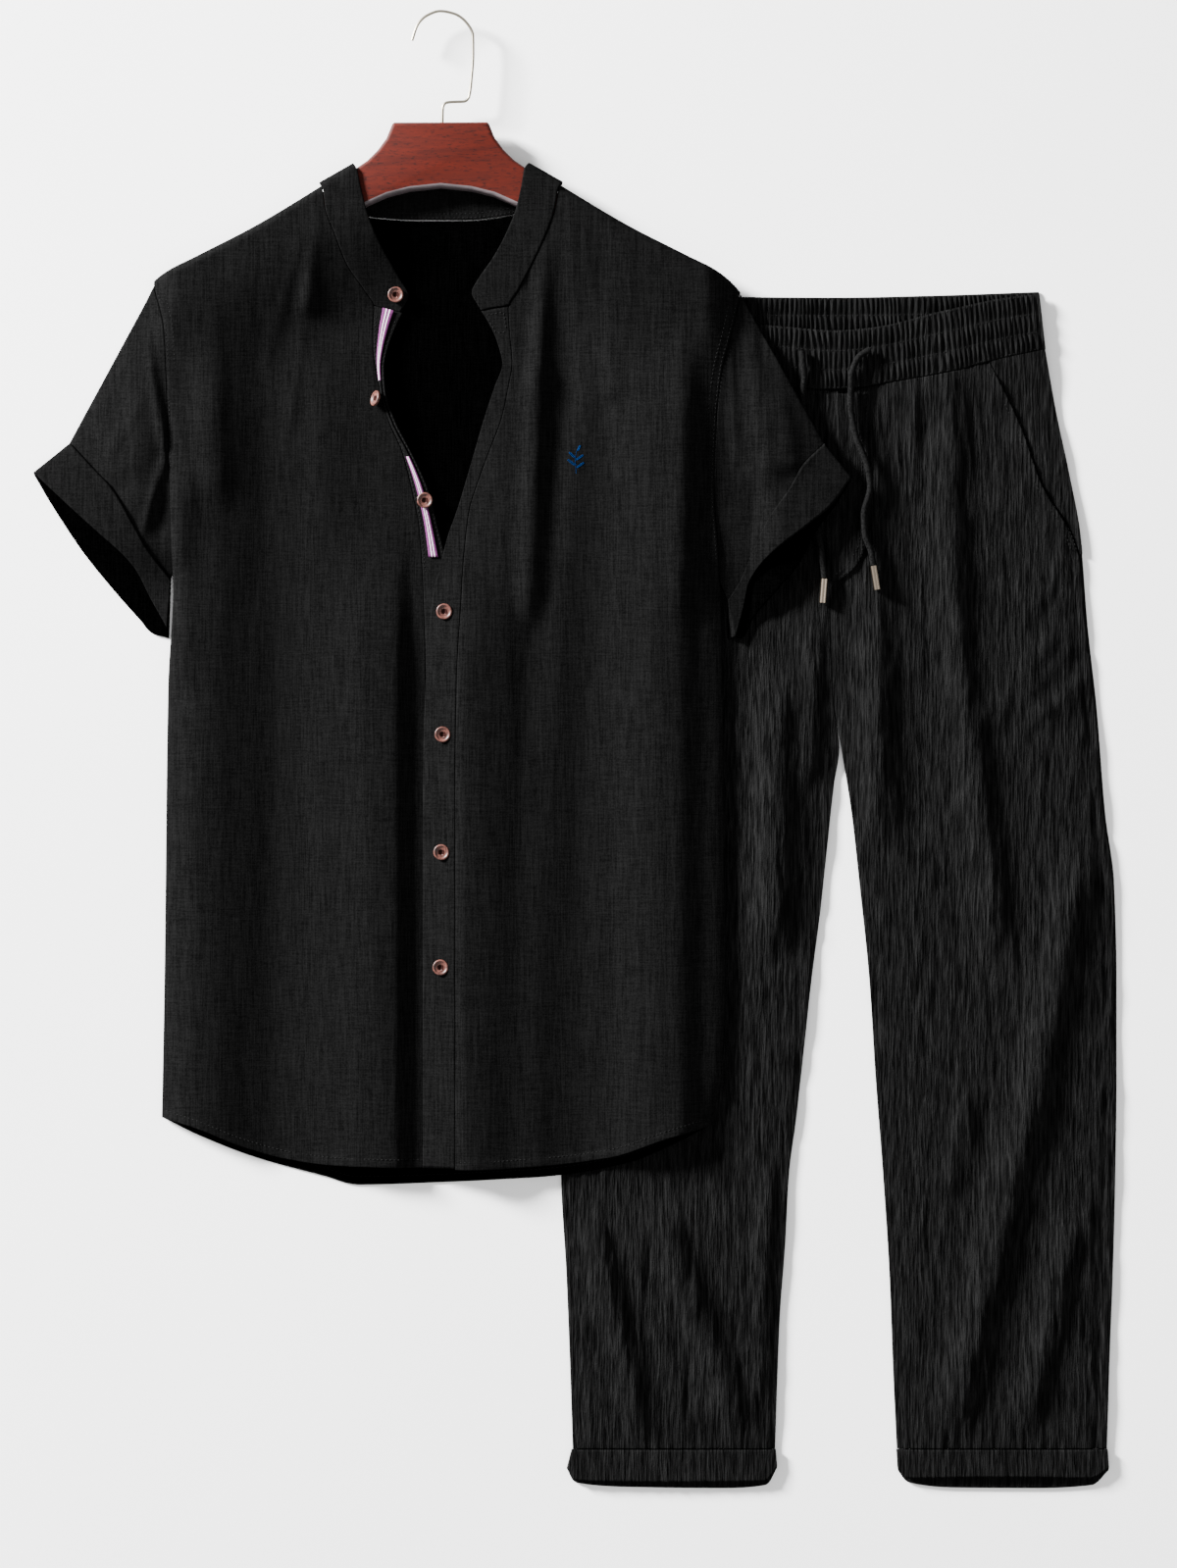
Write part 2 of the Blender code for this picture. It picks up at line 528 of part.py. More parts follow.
def add_round_tube(name, route, diameter, spacing, material, sides=2):
    """A round tube on a smooth curve through the route's points."""
    route = np.array(route, float)
    length = np.linalg.norm(np.diff(route, axis=0), axis=1).sum()
    places = along(route, np.linspace(0, 1, int(length / spacing) + 1)) * MM
    curve = bpy.data.curves.new(name, "CURVE")
    curve.dimensions = "3D"
    curve.bevel_depth = diameter / 2 * MM
    curve.bevel_resolution = sides
    curve.use_fill_caps = True
    spline = curve.splines.new("POLY")
    spline.points.add(len(places) - 1)
    for point, place in zip(spline.points, places):
        point.co = (*place, 1.0)
    return add_object(name, curve, material)


def make_shirt_back(cloth):
    left, right = (-335, 370), (131, 363)
    columns = (np.array(BACK_COLUMNS) - left[0]) / (right[0] - left[0])

    def top(t):
        x = left[0] + (right[0] - left[0]) * np.asarray(t, float)
        shoulder = read(SHOULDER, np.abs(x - HANGER_X))
        inside = (x > BACK_NECK[0][0]) & (x < BACK_NECK[-1][0])
        return np.stack([x, np.where(inside, read(BACK_NECK, x), shoulder)], axis=-1)

    net = patch(top, across(HEM_BACK, -329, 106), down(SHIRT_SIDE_LEFT, top(0)[1], -292),
                down(SHIRT_SIDE_RIGHT, top(1)[1], -299), rows_below_shoulder(BACK_ROWS), columns)
    add_panel("shirt_back", net, shirt_back_low, SHIRT_WALL, cloth)


def make_shirt_fronts(cloth):
    rows = rows_below_shoulder(FRONT_ROWS)
    neck = NECK_REACH

    def shoulder(start, end):
        def edge(t):
            x = start + (end - start) * np.asarray(t, float)
            return np.stack([x, read(SHOULDER, np.abs(x - HANGER_X))], axis=-1)
        return edge

    left_top = shoulder(-335, HANGER_X - neck)
    net = patch(left_top, across(HEM_LEFT, -329, -119), down(SHIRT_SIDE_LEFT, left_top(0)[1], -292),
                down(NECK_AND_STAND_SEAM, left_top(1)[1], -332), rows, np.linspace(0, 1, 12))
    add_panel("shirt_front_button_side", net, shirt_front_low, SHIRT_WALL, cloth)

    right_top = shoulder(HANGER_X + neck, 131)
    net = patch(right_top, across(HEM_RIGHT, -95, 106), down(NECK_AND_PLACKET_SEAM, right_top(0)[1], -333),
                down(SHIRT_SIDE_RIGHT, right_top(1)[1], -299), rows, np.linspace(0, 1, 12))
    add_panel("shirt_front_hole_side", net, over_stand_low, SHIRT_WALL, cloth)


def raised(points, low, lift):
    """Points in x and y set on a height field."""
    points = np.array(points, float)
    return np.column_stack((points, low(points[:, 0], points[:, 1]) + lift))


def stand_edges(y):
    """Middle of the button stand's wall along its sewn and its free edge."""
    lift = read(STAND_LIFT, y)
    sewn = np.column_stack((read(NECK_AND_STAND_SEAM, y) + SEAM_GAP + 0.08 * lift, y))
    free = np.column_stack((read(STAND_FREE, y), y - np.where(y > 340, 2, 0)))
    return (raised(sewn, shirt_front_low, SHIRT_WALL / 2 + 0.1 * lift),
            raised(free, shirt_front_low, SHIRT_WALL / 2 + lift))


def placket_edges(y):
    sewn = np.column_stack((read(NECK_AND_PLACKET_SEAM, y) - 2 * SEAM_GAP, y))
    free = np.column_stack((read(PLACKET_FREE, y), y))
    return raised(sewn, over_stand_low, SHIRT_WALL / 2), raised(free, over_stand_low, SHIRT_WALL / 2 + 0.2)


def make_front_strips(cloth, tape):
    y_open = np.linspace(346, 130, 28)
    y = np.concatenate((y_open, np.linspace(100, -332, 7)))
    add_ribbon("shirt_button_stand", *stand_edges(y), SHIRT_WALL, cloth)
    add_ribbon("shirt_placket", *placket_edges(y), SHIRT_WALL, cloth)
    sewn, free = stand_edges(y_open[:24])
    off = face_normals(sewn, free) * (SHIRT_WALL / 2 + LAYER_GAP + TAPE_WALL / 2 + 0.45)
    middle, half = 0.5 * (sewn + free), 0.2 * (free - sewn)
    add_ribbon("shirt_stand_tape", middle - half + off, middle + half + off, TAPE_WALL, tape)


def collar_edges():
    """Middle of the collar's wall along its sewn and its free edge, from one front end to the other."""
    sewn, free = [], []
    lift = COLLAR_WALL / 2
    fold_sewn, fold_free = np.array(BAND_FOLD[0]), np.array(BAND_FOLD[1])
    turn = np.radians(np.linspace(90, -90, 7))
    out = np.array((0.54, 0.84))
    halves = ((-1, BAND_SEWN_LEFT, BAND_FREE_LEFT), (1, BAND_SEWN_RIGHT, BAND_FREE_RIGHT))
    for side, front_sewn, front_free in halves:
        neck = NECK_AND_STAND_SEAM if side < 0 else NECK_AND_PLACKET_SEAM
        share = np.linspace(0, 1, 13)
        plan = along(front_sewn, share)
        seam = read(neck, plan[:, 1]) - side * 1.5 * SEAM_GAP
        plan[:, 0] = np.where(plan[:, 1] > 354, seam, plan[:, 0])
        flat_sewn = raised(plan, shirt_front_low, lift)
        flat_free = raised(along(front_free, share), shirt_front_low, lift)
        wrap = []
        for centre in (fold_sewn, fold_free):
            plan = centre + BAND_FOLD_RADIUS * np.cos(turn)[:, None] * out
            x = HANGER_X + side * plan[:, 0]
            z = hanger_low(x) + HANGER_THICK / 2 + (HANGER_THICK / 2 + lift + 0.4) * np.sin(turn)
            wrap.append(np.column_stack((x, plan[:, 1], z)))
        half_sewn, half_free = np.concatenate((flat_sewn, wrap[0])), np.concatenate((flat_free, wrap[1]))
        sewn.append(half_sewn if side < 0 else half_sewn[::-1])
        free.append(half_free if side < 0 else half_free[::-1])
    back_sewn = raised(BAND_BACK_SEWN, shirt_back_low, 0.3)
    x = np.array(BAND_BACK_FREE, float)
    back_free = np.column_stack((x, hanger_low(x[:, 0]) - lift - 0.4))
    return (np.concatenate((sewn[0], back_sewn, sewn[1])), np.concatenate((free[0], back_free, free[1])))


def make_collar(cloth):
    add_ribbon("shirt_collar_band", *collar_edges(), COLLAR_WALL, cloth, columns=3)


def make_sleeves(cloth):
    y = np.array(ARMHOLE_ROWS, float)
    armhole_left = np.column_stack((read(SHIRT_SIDE_LEFT, y) - 2 * SEAM_GAP, y))
    armhole_right = np.column_stack((read(SHIRT_SIDE_RIGHT, y - 7) + 2 * SEAM_GAP, y - 7))
    sides = (("left", armhole_left, CUFF_SEAM_LEFT, CUFF_FRONT_LEFT, CUFF_BACK_LEFT),
             ("right", armhole_right, CUFF_SEAM_RIGHT, CUFF_FRONT_RIGHT, CUFF_BACK_RIGHT))
    for side, armhole, seam, front, back in sides:
        add_tube_of_cloth("shirt_sleeve_" + side, armhole, seam, seam, SHIRT_WALL, sleeve_heights, cloth)
        way = np.array(front, float)[0] - np.array(seam, float)[0]
        away = way / np.linalg.norm(way) * SEAM_GAP
        start = np.array(seam, float) + away
        add_tube_of_cloth("shirt_cuff_" + side, start, front, back, CUFF_WALL, sleeve_heights, cloth,
                          stations=3)


def add_button(name, place, tilt, material):
    """A turned button: a raised rim, a dished face and an eye-shaped well in its middle."""
    profile = ((0.0, 0.6), (1.9, 0.6), (2.6, 1.7), (4.2, 1.7), (4.9, 2.6), (5.9, 2.6), (BUTTON_RADIUS, 2.1),
               (BUTTON_RADIUS, 0.7), (5.2, 0.0), (0.0, 0.0))
    sides = 12
    points, faces = [(0, 0, profile[0][1])], []
    for radius, z in profile[1:-1]:
        for k in range(sides):
            angle = 2 * math.pi * k / sides
            flat = 0.62 if radius < 2 else 1.0
            points.append((radius * math.cos(angle) * flat, radius * math.sin(angle), z))
    points.append((0, 0, 0))
    rings = len(profile) - 2
    faces += [(0, 1 + k, 1 + (k + 1) % sides) for k in range(sides)]
    faces += net_faces(rings, sides, 1, closed=True)
    end, last = len(points) - 1, 1 + (rings - 1) * sides
    faces += [(last + k, end, last + (k + 1) % sides) for k in range(sides)]
    button = add_solid(name, points, faces, material)
    button.location = Vector(place) * MM
    button.rotation_euler = (0, -math.radians(tilt), math.radians(-14 if tilt else 0))
    return button


def make_buttons(material):
    for number, (x, row, layer, tilt) in enumerate(BUTTONS, start=1):
        if layer == "collar":
            z = shirt_front_low(x, row) + COLLAR_WALL + 0.8
        elif layer == "placket":
            z = over_stand_low(x, row) + SHIRT_WALL + 0.2
        elif layer == "tape":
            z = shirt_front_low(x, row) + SHIRT_WALL + TAPE_WALL + LAYER_GAP + 1.6
        else:
            z = shirt_front_low(x, row) + 6.4
        add_button("shirt_button_" + str(number), (x, row, float(z) + 0.45), tilt, material)


def make_hanger(wood, steel):
    half = ((0, 446), (24, 443.5), (42, 439), (60, 431), (85, 420.5), (110, 408.5), (140, 394), (170, 379.5),
            (198, 366), (204, 365), (208, 369), (208, 374.5), (203, 380), (179, 392), (150, 407.5),
            (117, 425.5),
            (95, 439.5), (80, 450.5), (66, 462), (58, 467.5), (50, 475.5), (43, 485), (38.5, 496),
            (37, 497.5))
    outline = [(s, y) for s, y in half] + [(-s, y) for s, y in reversed(half[1:])]
    mesh = bpy.data.meshes.new("hanger_arms")
    shape = bmesh.new()
    face = shape.faces.new([shape.verts.new((s * MM, y * MM, 0)) for s, y in outline])
    result = bmesh.ops.extrude_face_region(shape, geom=[face])
    lifted = [g for g in result["geom"] if isinstance(g, bmesh.types.BMVert)]
    bmesh.ops.translate(shape, verts=lifted, vec=(0, 0, HANGER_THICK * MM))
    bmesh.ops.recalc_face_normals(shape, faces=shape.faces)
    shape.to_mesh(mesh)
    shape.free()
    mesh.shade_smooth()
    mesh.set_sharp_from_angle(angle=math.radians(30))
    arms = add_object("hanger_arms", mesh, wood)
    arms.location = (HANGER_X * MM, 0, HANGER_Z_MIDDLE * MM)
    arms.rotation_euler = (0, -math.atan(HANGER_SLOPE), 0)
    bevel = arms.modifiers.new("Worn edge", "BEVEL")
    bevel.width = HANGER_EDGE * MM
    bevel.segments = 2
    bevel.limit_method = "ANGLE"
    bevel.angle_limit = math.radians(60)
    middle = hanger_low(HANGER_X) + HANGER_THICK / 2
    route = [(x, y, middle) for x, y in HOOK_ROUTE]
    add_round_tube("hanger_hook", route, HOOK_WIRE, 5.0, steel, sides=1)


def make_trouser_legs(cloth):
    rows = np.linspace(0, 1, 25)
    bottom = -556.0

    def flat(x_start, x_end):
        return lambda t: np.stack([x_start + (x_end - x_start) * np.asarray(t, float),
                                   np.full(np.shape(t), bottom)], axis=-1)

    def floor(x, y):
        return np.zeros(np.broadcast(x, y).shape)

    parts = (("left", 37.5, 201 - SEAM_GAP / 2, TROUSER_SIDE_LEFT, CENTRE_TO_INNER_LEFT, 0.0, -SEAM_GAP / 2),
             ("right", 201 + SEAM_GAP / 2, 374, CENTRE_TO_INNER_RIGHT, TROUSER_SIDE_RIGHT, SEAM_GAP / 2, 0.0))
    for side, x_left, x_right, table_left, table_right, shift_left, shift_right in parts:
        left_end = float(read(table_left, bottom)) + shift_left
        right_end = float(read(table_right, bottom)) + shift_right
        y_left, y_right = (float(read(BAND_BACK_LOW, x)) - SEAM_GAP for x in (x_left, x_right))
        net = patch(across(BAND_BACK_LOW, x_left, x_right, -SEAM_GAP), flat(left_end, right_end),
                    down(table_left, y_left, bottom, shift_left),
                    down(table_right, y_right, bottom, shift_right),
                    np.linspace(0, 1, 19), np.linspace(0, 1, 3))
        add_panel("trouser_back_" + side, net, floor, TROUSER_WALL, cloth)

        if side == "left":
            mouth_x, outer = 79, edge_with_pocket(TROUSER_SIDE_LEFT, POCKET_MOUTH_LEFT, SEAM_GAP / 2)
            y_mouth = float(read(BAND_FRONT_LOW, mouth_x)) - SEAM_GAP
            y_centre = float(read(BAND_FRONT_LOW, x_right)) - SEAM_GAP
            net = patch(across(BAND_FRONT_LOW, mouth_x, x_right, -SEAM_GAP), flat(left_end, right_end),
                        down(outer, y_mouth, bottom), down(table_right, y_centre, bottom, shift_right),
                        rows, np.linspace(0, 1, 11))
        else:
            mouth_x, outer = 329, edge_with_pocket(TROUSER_SIDE_RIGHT, POCKET_MOUTH_RIGHT, -SEAM_GAP / 2)
            y_mouth = float(read(BAND_FRONT_LOW, mouth_x)) - SEAM_GAP
            y_centre = float(read(BAND_FRONT_LOW, x_left)) - SEAM_GAP
            net = patch(across(BAND_FRONT_LOW, x_left, mouth_x, -SEAM_GAP), flat(left_end, right_end),
                        down(table_left, y_centre, bottom, shift_left), down(outer, y_mouth, bottom),
                        rows, np.linspace(0, 1, 11))
        add_panel("trouser_front_" + side, net, trouser_front_low, TROUSER_WALL, cloth)


def edge_with_pocket(side, mouth, shift):
    """The front's outer edge: the slanted pocket mouth, then the side seam below it."""
    below = [(y, x) for y, x in side if y < 120]
    return tuple((y, x + shift) for y, x in mouth[1:]) + tuple(below)


def make_pockets(cloth):
    rows, columns = np.linspace(0, 1, 9), np.linspace(0, 1, 4)
    low = 156.0
    for side, mouth, seam, x_mouth, x_side in (("left", POCKET_MOUTH_LEFT, TROUSER_SIDE_LEFT, 78.4, 38),
                                               ("right", POCKET_MOUTH_RIGHT, TROUSER_SIDE_RIGHT, 329.6,
                                               373.5)):
        shift = SEAM_GAP if side == "right" else -SEAM_GAP
        y_mouth = float(read(BAND_FRONT_LOW, x_mouth)) - SEAM_GAP
        y_side = float(read(BAND_FRONT_LOW, x_side)) - SEAM_GAP
        inner, outer = down(mouth, y_mouth, low, shift), down(seam, y_side, low)
        if side == "right":
            x_end = (float(read(mouth, low)) + shift, float(read(seam, low)))
            edges = (across(BAND_FRONT_LOW, x_mouth, x_side, -SEAM_GAP), inner, outer)
        else:
            x_end = (float(read(seam, low)), float(read(mouth, low)) + shift)
            edges = (across(BAND_FRONT_LOW, x_side, x_mouth, -SEAM_GAP), outer, inner)

        def end(t, x_end=x_end):
            return np.stack([x_end[0] + (x_end[1] - x_end[0]) * np.asarray(t, float),
                             np.full(np.shape(t), low)], axis=-1)

        net = patch(edges[0], end, edges[1], edges[2], rows, columns)
        add_panel("trouser_pocket_" + side, net, trouser_front_low, TROUSER_WALL, cloth)


def fly_low(x, y):
    return wall_top(trouser_front_low, TROUSER_WALL, x, y) + FLY_GAP


def make_fly(cloth):
    y_top, y_low, x_left = 283.5, 134.0, 200.0
    y = y_top + (y_low - y_top) * np.linspace(0, 1, 13)
    x = x_left + (read(FLY_RIGHT, y)[:, None] - x_left) * np.linspace(0, 1, 5)[None, :]
    add_panel("trouser_fly", (x, np.repeat(y[:, None], 5, axis=1)), fly_low, SHIRT_WALL, cloth)


def make_waistband(cloth):
    add_gathered_band("trouser_waistband_front", BAND_FRONT_TOP, BAND_FRONT_LOW,
                      ((0, .4), (.16, 1.1), (.32, .2), (.49, 1.2), (.66, .2), (.84, 1.2), (1, .5)), cloth)
    add_gathered_band("trouser_waistband_back", BAND_BACK_TOP, BAND_BACK_LOW,
                      ((0, .4), (.18, 1.0), (.36, .2), (1, .1)), cloth)


def make_leg_cuffs(cloth):
    sides = (("left", ((-3, -556.6), (159.5, -556.6)), ((-5.5, -571), (0, -579), (150, -579), (160.5, -568)),
              ((-7, -572), (0, -583), (40, -586.5), (120, -587.5), (152, -585), (160.5, -572))),
             ("right", ((255.5, -556.6), (423.5, -556.6)), ((256, -568), (264, -576), (410, -576),
             (424.5, -570)),
              ((257, -574), (265, -583), (300, -587), (370, -587.5), (412, -585), (424.5, -574))))
    for side, start, front, back in sides:
        add_tube_of_cloth("trouser_cuff_" + side, start, front, back, CUFF_WALL, leg_cuff_heights, cloth,
                          columns=14, stations=3)


def make_drawcords(cord, metal):
    for side, route, end in (("left", CORD_LEFT, TIP_END_LEFT), ("right", CORD_RIGHT, TIP_END_RIGHT)):
        add_round_tube("drawcord_" + side, route, CORD_DIAMETER, 11.0, cord)
        start = np.array(route[-1], float)
        way = np.array(end, float) - start
        way /= np.linalg.norm(way)
        first = start + way * 3 * LAYER_GAP
        add_round_tube("drawcord_tip_" + side, (first, first + way * TIP_LENGTH / 2,
        first + way * TIP_LENGTH),
                       TIP_DIAMETER, TIP_LENGTH / 3, metal)


def main():
    for thing in list(bpy.data.objects):
        bpy.data.objects.remove(thing, do_unlink=True)
    linen = finish("Black slub linen", (0.012, 0.012, 0.013), 0.9)
    crinkle = finish("Black crinkle cotton", (0.015, 0.015, 0.016), 0.9)
    tape = finish("Striped tape", (0.35, 0.25, 0.36), 0.8)
    cord = finish("Black cotton cord", (0.02, 0.02, 0.021), 0.85)
    shell = finish("Brown button", (0.45, 0.25, 0.18), 0.4)
    wood = finish("Stained wood", (0.16, 0.02, 0.008), 0.35)
    steel = finish("Dark steel wire", (0.25, 0.24, 0.22), 0.3, 1.0)
    metal = finish("Pale metal tip", (0.8, 0.76, 0.68), 0.25, 1.0)
    make_shirt_back(linen)
    make_shirt_fronts(linen)
    make_front_strips(linen, tape)
    make_collar(linen)
    make_sleeves(linen)
    make_buttons(shell)
    make_hanger(wood, steel)
    make_trouser_legs(crinkle)
    make_pockets(crinkle)
    make_fly(crinkle)
    make_waistband(crinkle)
    make_leg_cuffs(crinkle)
    make_drawcords(cord, metal)


main()
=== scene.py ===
"""A black band-collar shirt on a wooden hanger, laid flat over black drawstring trousers.

The file is laid out as an add-on: one operator makes each group of pieces. Tables are in
millimetres in the frame's own axes: +X to the viewer's right, +Y to the hanger's hook, +Z up.
"""

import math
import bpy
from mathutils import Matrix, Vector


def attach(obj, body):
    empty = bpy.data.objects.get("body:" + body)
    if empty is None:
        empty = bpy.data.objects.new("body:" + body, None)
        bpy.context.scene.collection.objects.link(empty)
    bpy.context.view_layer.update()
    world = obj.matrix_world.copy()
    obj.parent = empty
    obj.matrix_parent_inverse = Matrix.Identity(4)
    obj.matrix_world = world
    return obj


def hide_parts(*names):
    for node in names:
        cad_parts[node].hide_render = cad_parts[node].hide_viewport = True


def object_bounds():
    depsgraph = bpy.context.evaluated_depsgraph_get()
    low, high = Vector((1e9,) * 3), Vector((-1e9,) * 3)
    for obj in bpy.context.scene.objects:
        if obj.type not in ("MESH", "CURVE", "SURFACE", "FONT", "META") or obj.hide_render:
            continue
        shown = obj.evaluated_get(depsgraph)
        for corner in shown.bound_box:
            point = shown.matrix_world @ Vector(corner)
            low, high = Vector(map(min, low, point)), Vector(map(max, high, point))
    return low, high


bl_info = {
    "name": "Shirt and trousers set",
    "version": (1, 0, 0),
    "blender": (4, 5, 0),
    "location": "View3D > Sidebar > Garments",
    "description": "Dresses a flat-laid shirt and trousers as linen, crinkled cotton and wood",
    "category": "Object",
}

import bmesh
import bpy
import numpy as np
from mathutils import Euler, Matrix, Vector

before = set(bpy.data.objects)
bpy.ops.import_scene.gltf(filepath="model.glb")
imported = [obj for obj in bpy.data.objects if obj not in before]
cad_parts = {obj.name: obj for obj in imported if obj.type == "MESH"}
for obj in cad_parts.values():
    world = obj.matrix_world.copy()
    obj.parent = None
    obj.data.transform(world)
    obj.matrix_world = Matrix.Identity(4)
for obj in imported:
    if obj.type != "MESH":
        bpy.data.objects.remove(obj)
CAD_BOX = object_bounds()
BODY = "root"
MM = 0.001

# Cloth walls and the gaps that part them. STEEPEST_WALL limits how far a wall is thickened on a slope,
# and FAR is a distance at which an edge no longer counts.
SHIRT_WALL = 1.2
CUFF_WALL = 2.2
COLLAR_WALL = 2.0
TROUSER_WALL = 1.5
BAND_WALL = 1.9
TAPE_WALL = 1.0
LAYER_GAP = 0.3
SEAM_GAP = 0.15
FLY_GAP = 1.1
STEEPEST_WALL = 1.7
FAR = 99

# Hanger: a flat wooden pair of arms that tilts a little, with one end on the trousers' waistband.
# HANGER_EDGE rounds its edges, and a reach is a distance to either side of its middle.
HANGER_X = -106.5
HANGER_THICK = 12.0
HANGER_Z_MIDDLE = 6.3
HANGER_SLOPE = 0.0175
HANGER_EDGE = 3.0
ARM_LOW_INNER = (62.0, 433.0)
ARM_LOW_OUTER = (211.0, 360.0)
ARM_REACH = (208.0, 240.0)
NECK_REACH = 94.0

# How the shirt hangs from the arms: it turns round their upper edge within WRAP_DROP, each layer by
# WRAP_RISE, then tents down to the floor. SLACK is the air between cloth and wood.
WRAP_DROP = 7.0
WRAP_RISE = 6.3
BACK_TENT = 70
FRONT_TENT = 85
SLACK_UNDER = 0.7
SLACK_OVER = 0.4

# Heights at which the shirt lies where something is under it
ON_TROUSERS = 3.8
ON_WAISTBAND = 7.4
ON_CORD = 11.4

# Spans over which it climbs there and comes down again: past the trousers' left side, in x or in y
CLIMB_TROUSERS = (-44, -14)
TROUSERS_END_Y = (330, 378)
CLIMB_BAND_X = (8, 32)
CLIMB_BAND_Y = (262, 286)
BAND_END_Y = (366, 384)
CLIMB_CORD_X = (122, 166)
FRONT_CLIMB_X = (-10, 40)
BRIDGE_X = (8, 60)
BRIDGE_Y = (150, 280)

# Loft of the shirt's front: none at the side seams, full SIDE_ROUND inside them and at the sleeves,
# and more beside the step down from the trousers
LEAST_LOFT = 1.3
SIDE_ROUND = 24
SLEEVE_OPEN_Y = (125, 165)
STEP_LOFT = 1.6
STEP_INSET = 26
STEP_WIDTH = 28

# Step by which the buttonhole side lies over the button stand, and where it fades out
OVER_STAND = 0.6
OVER_STAND_X = (-95, -30)
OVER_STAND_Y = (176, 205)

# Where the trousers come out from under the shirt: below its hem, past its side, past the slant of its
# right cuff, and everywhere beyond that cuff
BELOW_HEM = -354
PAST_SIDE = 124
CUFF_SLANT = 1.25
CUFF_SLANT_SQUARE = 0.62
CUFF_SLANT_FOOT = (118, 72)
BEYOND_CUFF = 224
SHOWN_FADE = 30

# The trousers' front: its rounded edges, how far it stands off the back, and where its folds deepen
LEG_ROUND = 20
LEG_LOFT = 1.0
DEEP_BELOW_Y = (30, 130)
BESIDE_FLY = 0.6
BESIDE_FLY_X = (248, 272)
BESIDE_FLY_Y = (255, 292)
WAIST_LIFT = 2.6
WAIST_LIFT_X = (238, 270)
WAIST_LIFT_DROP = 45

# Waistband: where the front layer lies off the back one and arches, and its gathers
BAND_GAP = 1.5
BAND_RISE = 2.2
BAND_RISE_X = 312.0
BAND_RISE_WIDTH = 42.0
BAND_TIERS = 3
GATHER_HEIGHT = 1.9
GATHER_AT_STITCHES = 0.25

# Edges that run down the garments: (y, x)
SHIRT_SIDE_LEFT = ((370, -335), (332, -326), (246, -323), (129, -320), (51, -324), (-183, -327), (-292, -329))
SHIRT_SIDE_RIGHT = ((363, 131), (332, 124), (300, 116), (261, 112), (207, 110), (160, 113), (98, 116),
                    (-27, 118), (-183, 119), (-261, 116), (-299, 106))
NECK_AND_STAND_SEAM = ((448.5, -200.5), (429, -198), (410, -191), (385, -181), (366, -168), (352, -160),
                       (335, -161), (320, -161), (304, -159), (285, -155), (261, -148), (238, -138),
                       (207, -130), (176, -124), (129, -121), (60, -119), (-332, -119))
NECK_AND_PLACKET_SEAM = ((448.5, -12.5), (425, -17), (402, -26), (382, -36), (366, -45), (352, -53),
                         (332, -52), (308, -50), (289, -53), (265, -58), (238, -68), (214, -77), (191, -84),
                         (168, -87), (144, -89), (125, -90), (51, -94), (-27, -95), (-332, -95))
STAND_FREE = ((347, -137), (335, -143), (320, -149), (304, -152), (285, -151), (261, -143), (238, -131),
              (207, -117), (176, -109), (152, -103), (129, -98), (60, -96), (-332, -96))
PLACKET_FREE = ((349, -77), (339, -70), (324, -62), (307, -58), (289, -64), (265, -72), (238, -80),
                (214, -87), (191, -94), (168, -102), (144, -108), (125, -113), (51, -119), (-27, -121),
                (-332, -121))
TROUSER_SIDE_LEFT = ((320, 39), (246, 25), (172, 14), (98, 6), (35, 0), (-51, -5), (-144, -8), (-261, -10),
                     (-339, -11), (-417, -7), (-495, -4), (-558, -2))
TROUSER_SIDE_RIGHT = ((320, 374), (269, 383), (222, 393), (172, 402), (98, 408), (35, 415), (-51, 422),
                      (-105, 429), (-183, 431), (-261, 431), (-339, 430), (-417, 428), (-495, 425),
                      (-558, 423))
CENTRE_TO_INNER_LEFT = ((300, 201), (287, 201), (129, 202.5), (45, 205), (0, 210), (-27, 206), (-82, 200),
                        (-129, 195), (-183, 188), (-238, 182), (-292, 176), (-339, 170), (-394, 167),
                        (-448, 163), (-495, 161), (-558, 159))
CENTRE_TO_INNER_RIGHT = ((300, 201), (287, 201), (129, 202.5), (45, 205), (0, 212), (-51, 220), (-105, 226),
                         (-183, 234), (-261, 239), (-339, 245), (-417, 250), (-495, 253), (-558, 256))
POCKET_MOUTH_RIGHT = ((330, 323), (314, 329), (254, 358), (211, 373), (172, 396), (150, 403.5))
POCKET_MOUTH_LEFT = ((330, 85), (314, 79), (254, 51), (211, 37), (172, 16), (150, 12))
FLY_RIGHT = ((300, 233), (180, 233), (160, 230), (148, 224), (138, 214), (132, 204))
FLY_LEFT = 200.0
FLY_ROWS = (283.5, 134.0)

# Edges that run across: (x, y)
SHOULDER = ((60, 470), (67.5, 465), (97, 446.5), (148, 416), (195, 392), (222, 378), (237, 364), (300, 250))
BACK_NECK = ((-203.5, 446.5), (-188, 435), (-160, 423), (-123, 421), (-87, 421), (-45, 426), (-24, 436),
             (-9.5, 446.5))
HEM_BACK = ((-329, -292), (-301, -306), (-255, -324), (-200, -339), (-173, -346), (-106, -344), (-21, -339),
            (42, -328), (81, -312), (106, -299))
HEM_LEFT = ((-329, -292), (-301, -300), (-262, -316), (-231, -325), (-192, -330), (-119, -332))
HEM_RIGHT = ((-95, -333), (-83, -333), (-21, -330), (26, -324), (73, -308), (106, -299))
BAND_FRONT_TOP = ((40, 361), (104, 343), (167, 337), (206, 334), (234, 336), (291, 349), (344, 360),
                  (369, 363))
BAND_FRONT_LOW = ((37, 317), (89, 302), (151, 291), (206, 287), (259, 294), (299, 301), (333, 310),
                  (374, 319))
BAND_BACK_TOP = ((41, 362), (131, 361), (206, 360.5), (284, 362), (369, 365))
BAND_BACK_LOW = ((37, 318), (374, 320))

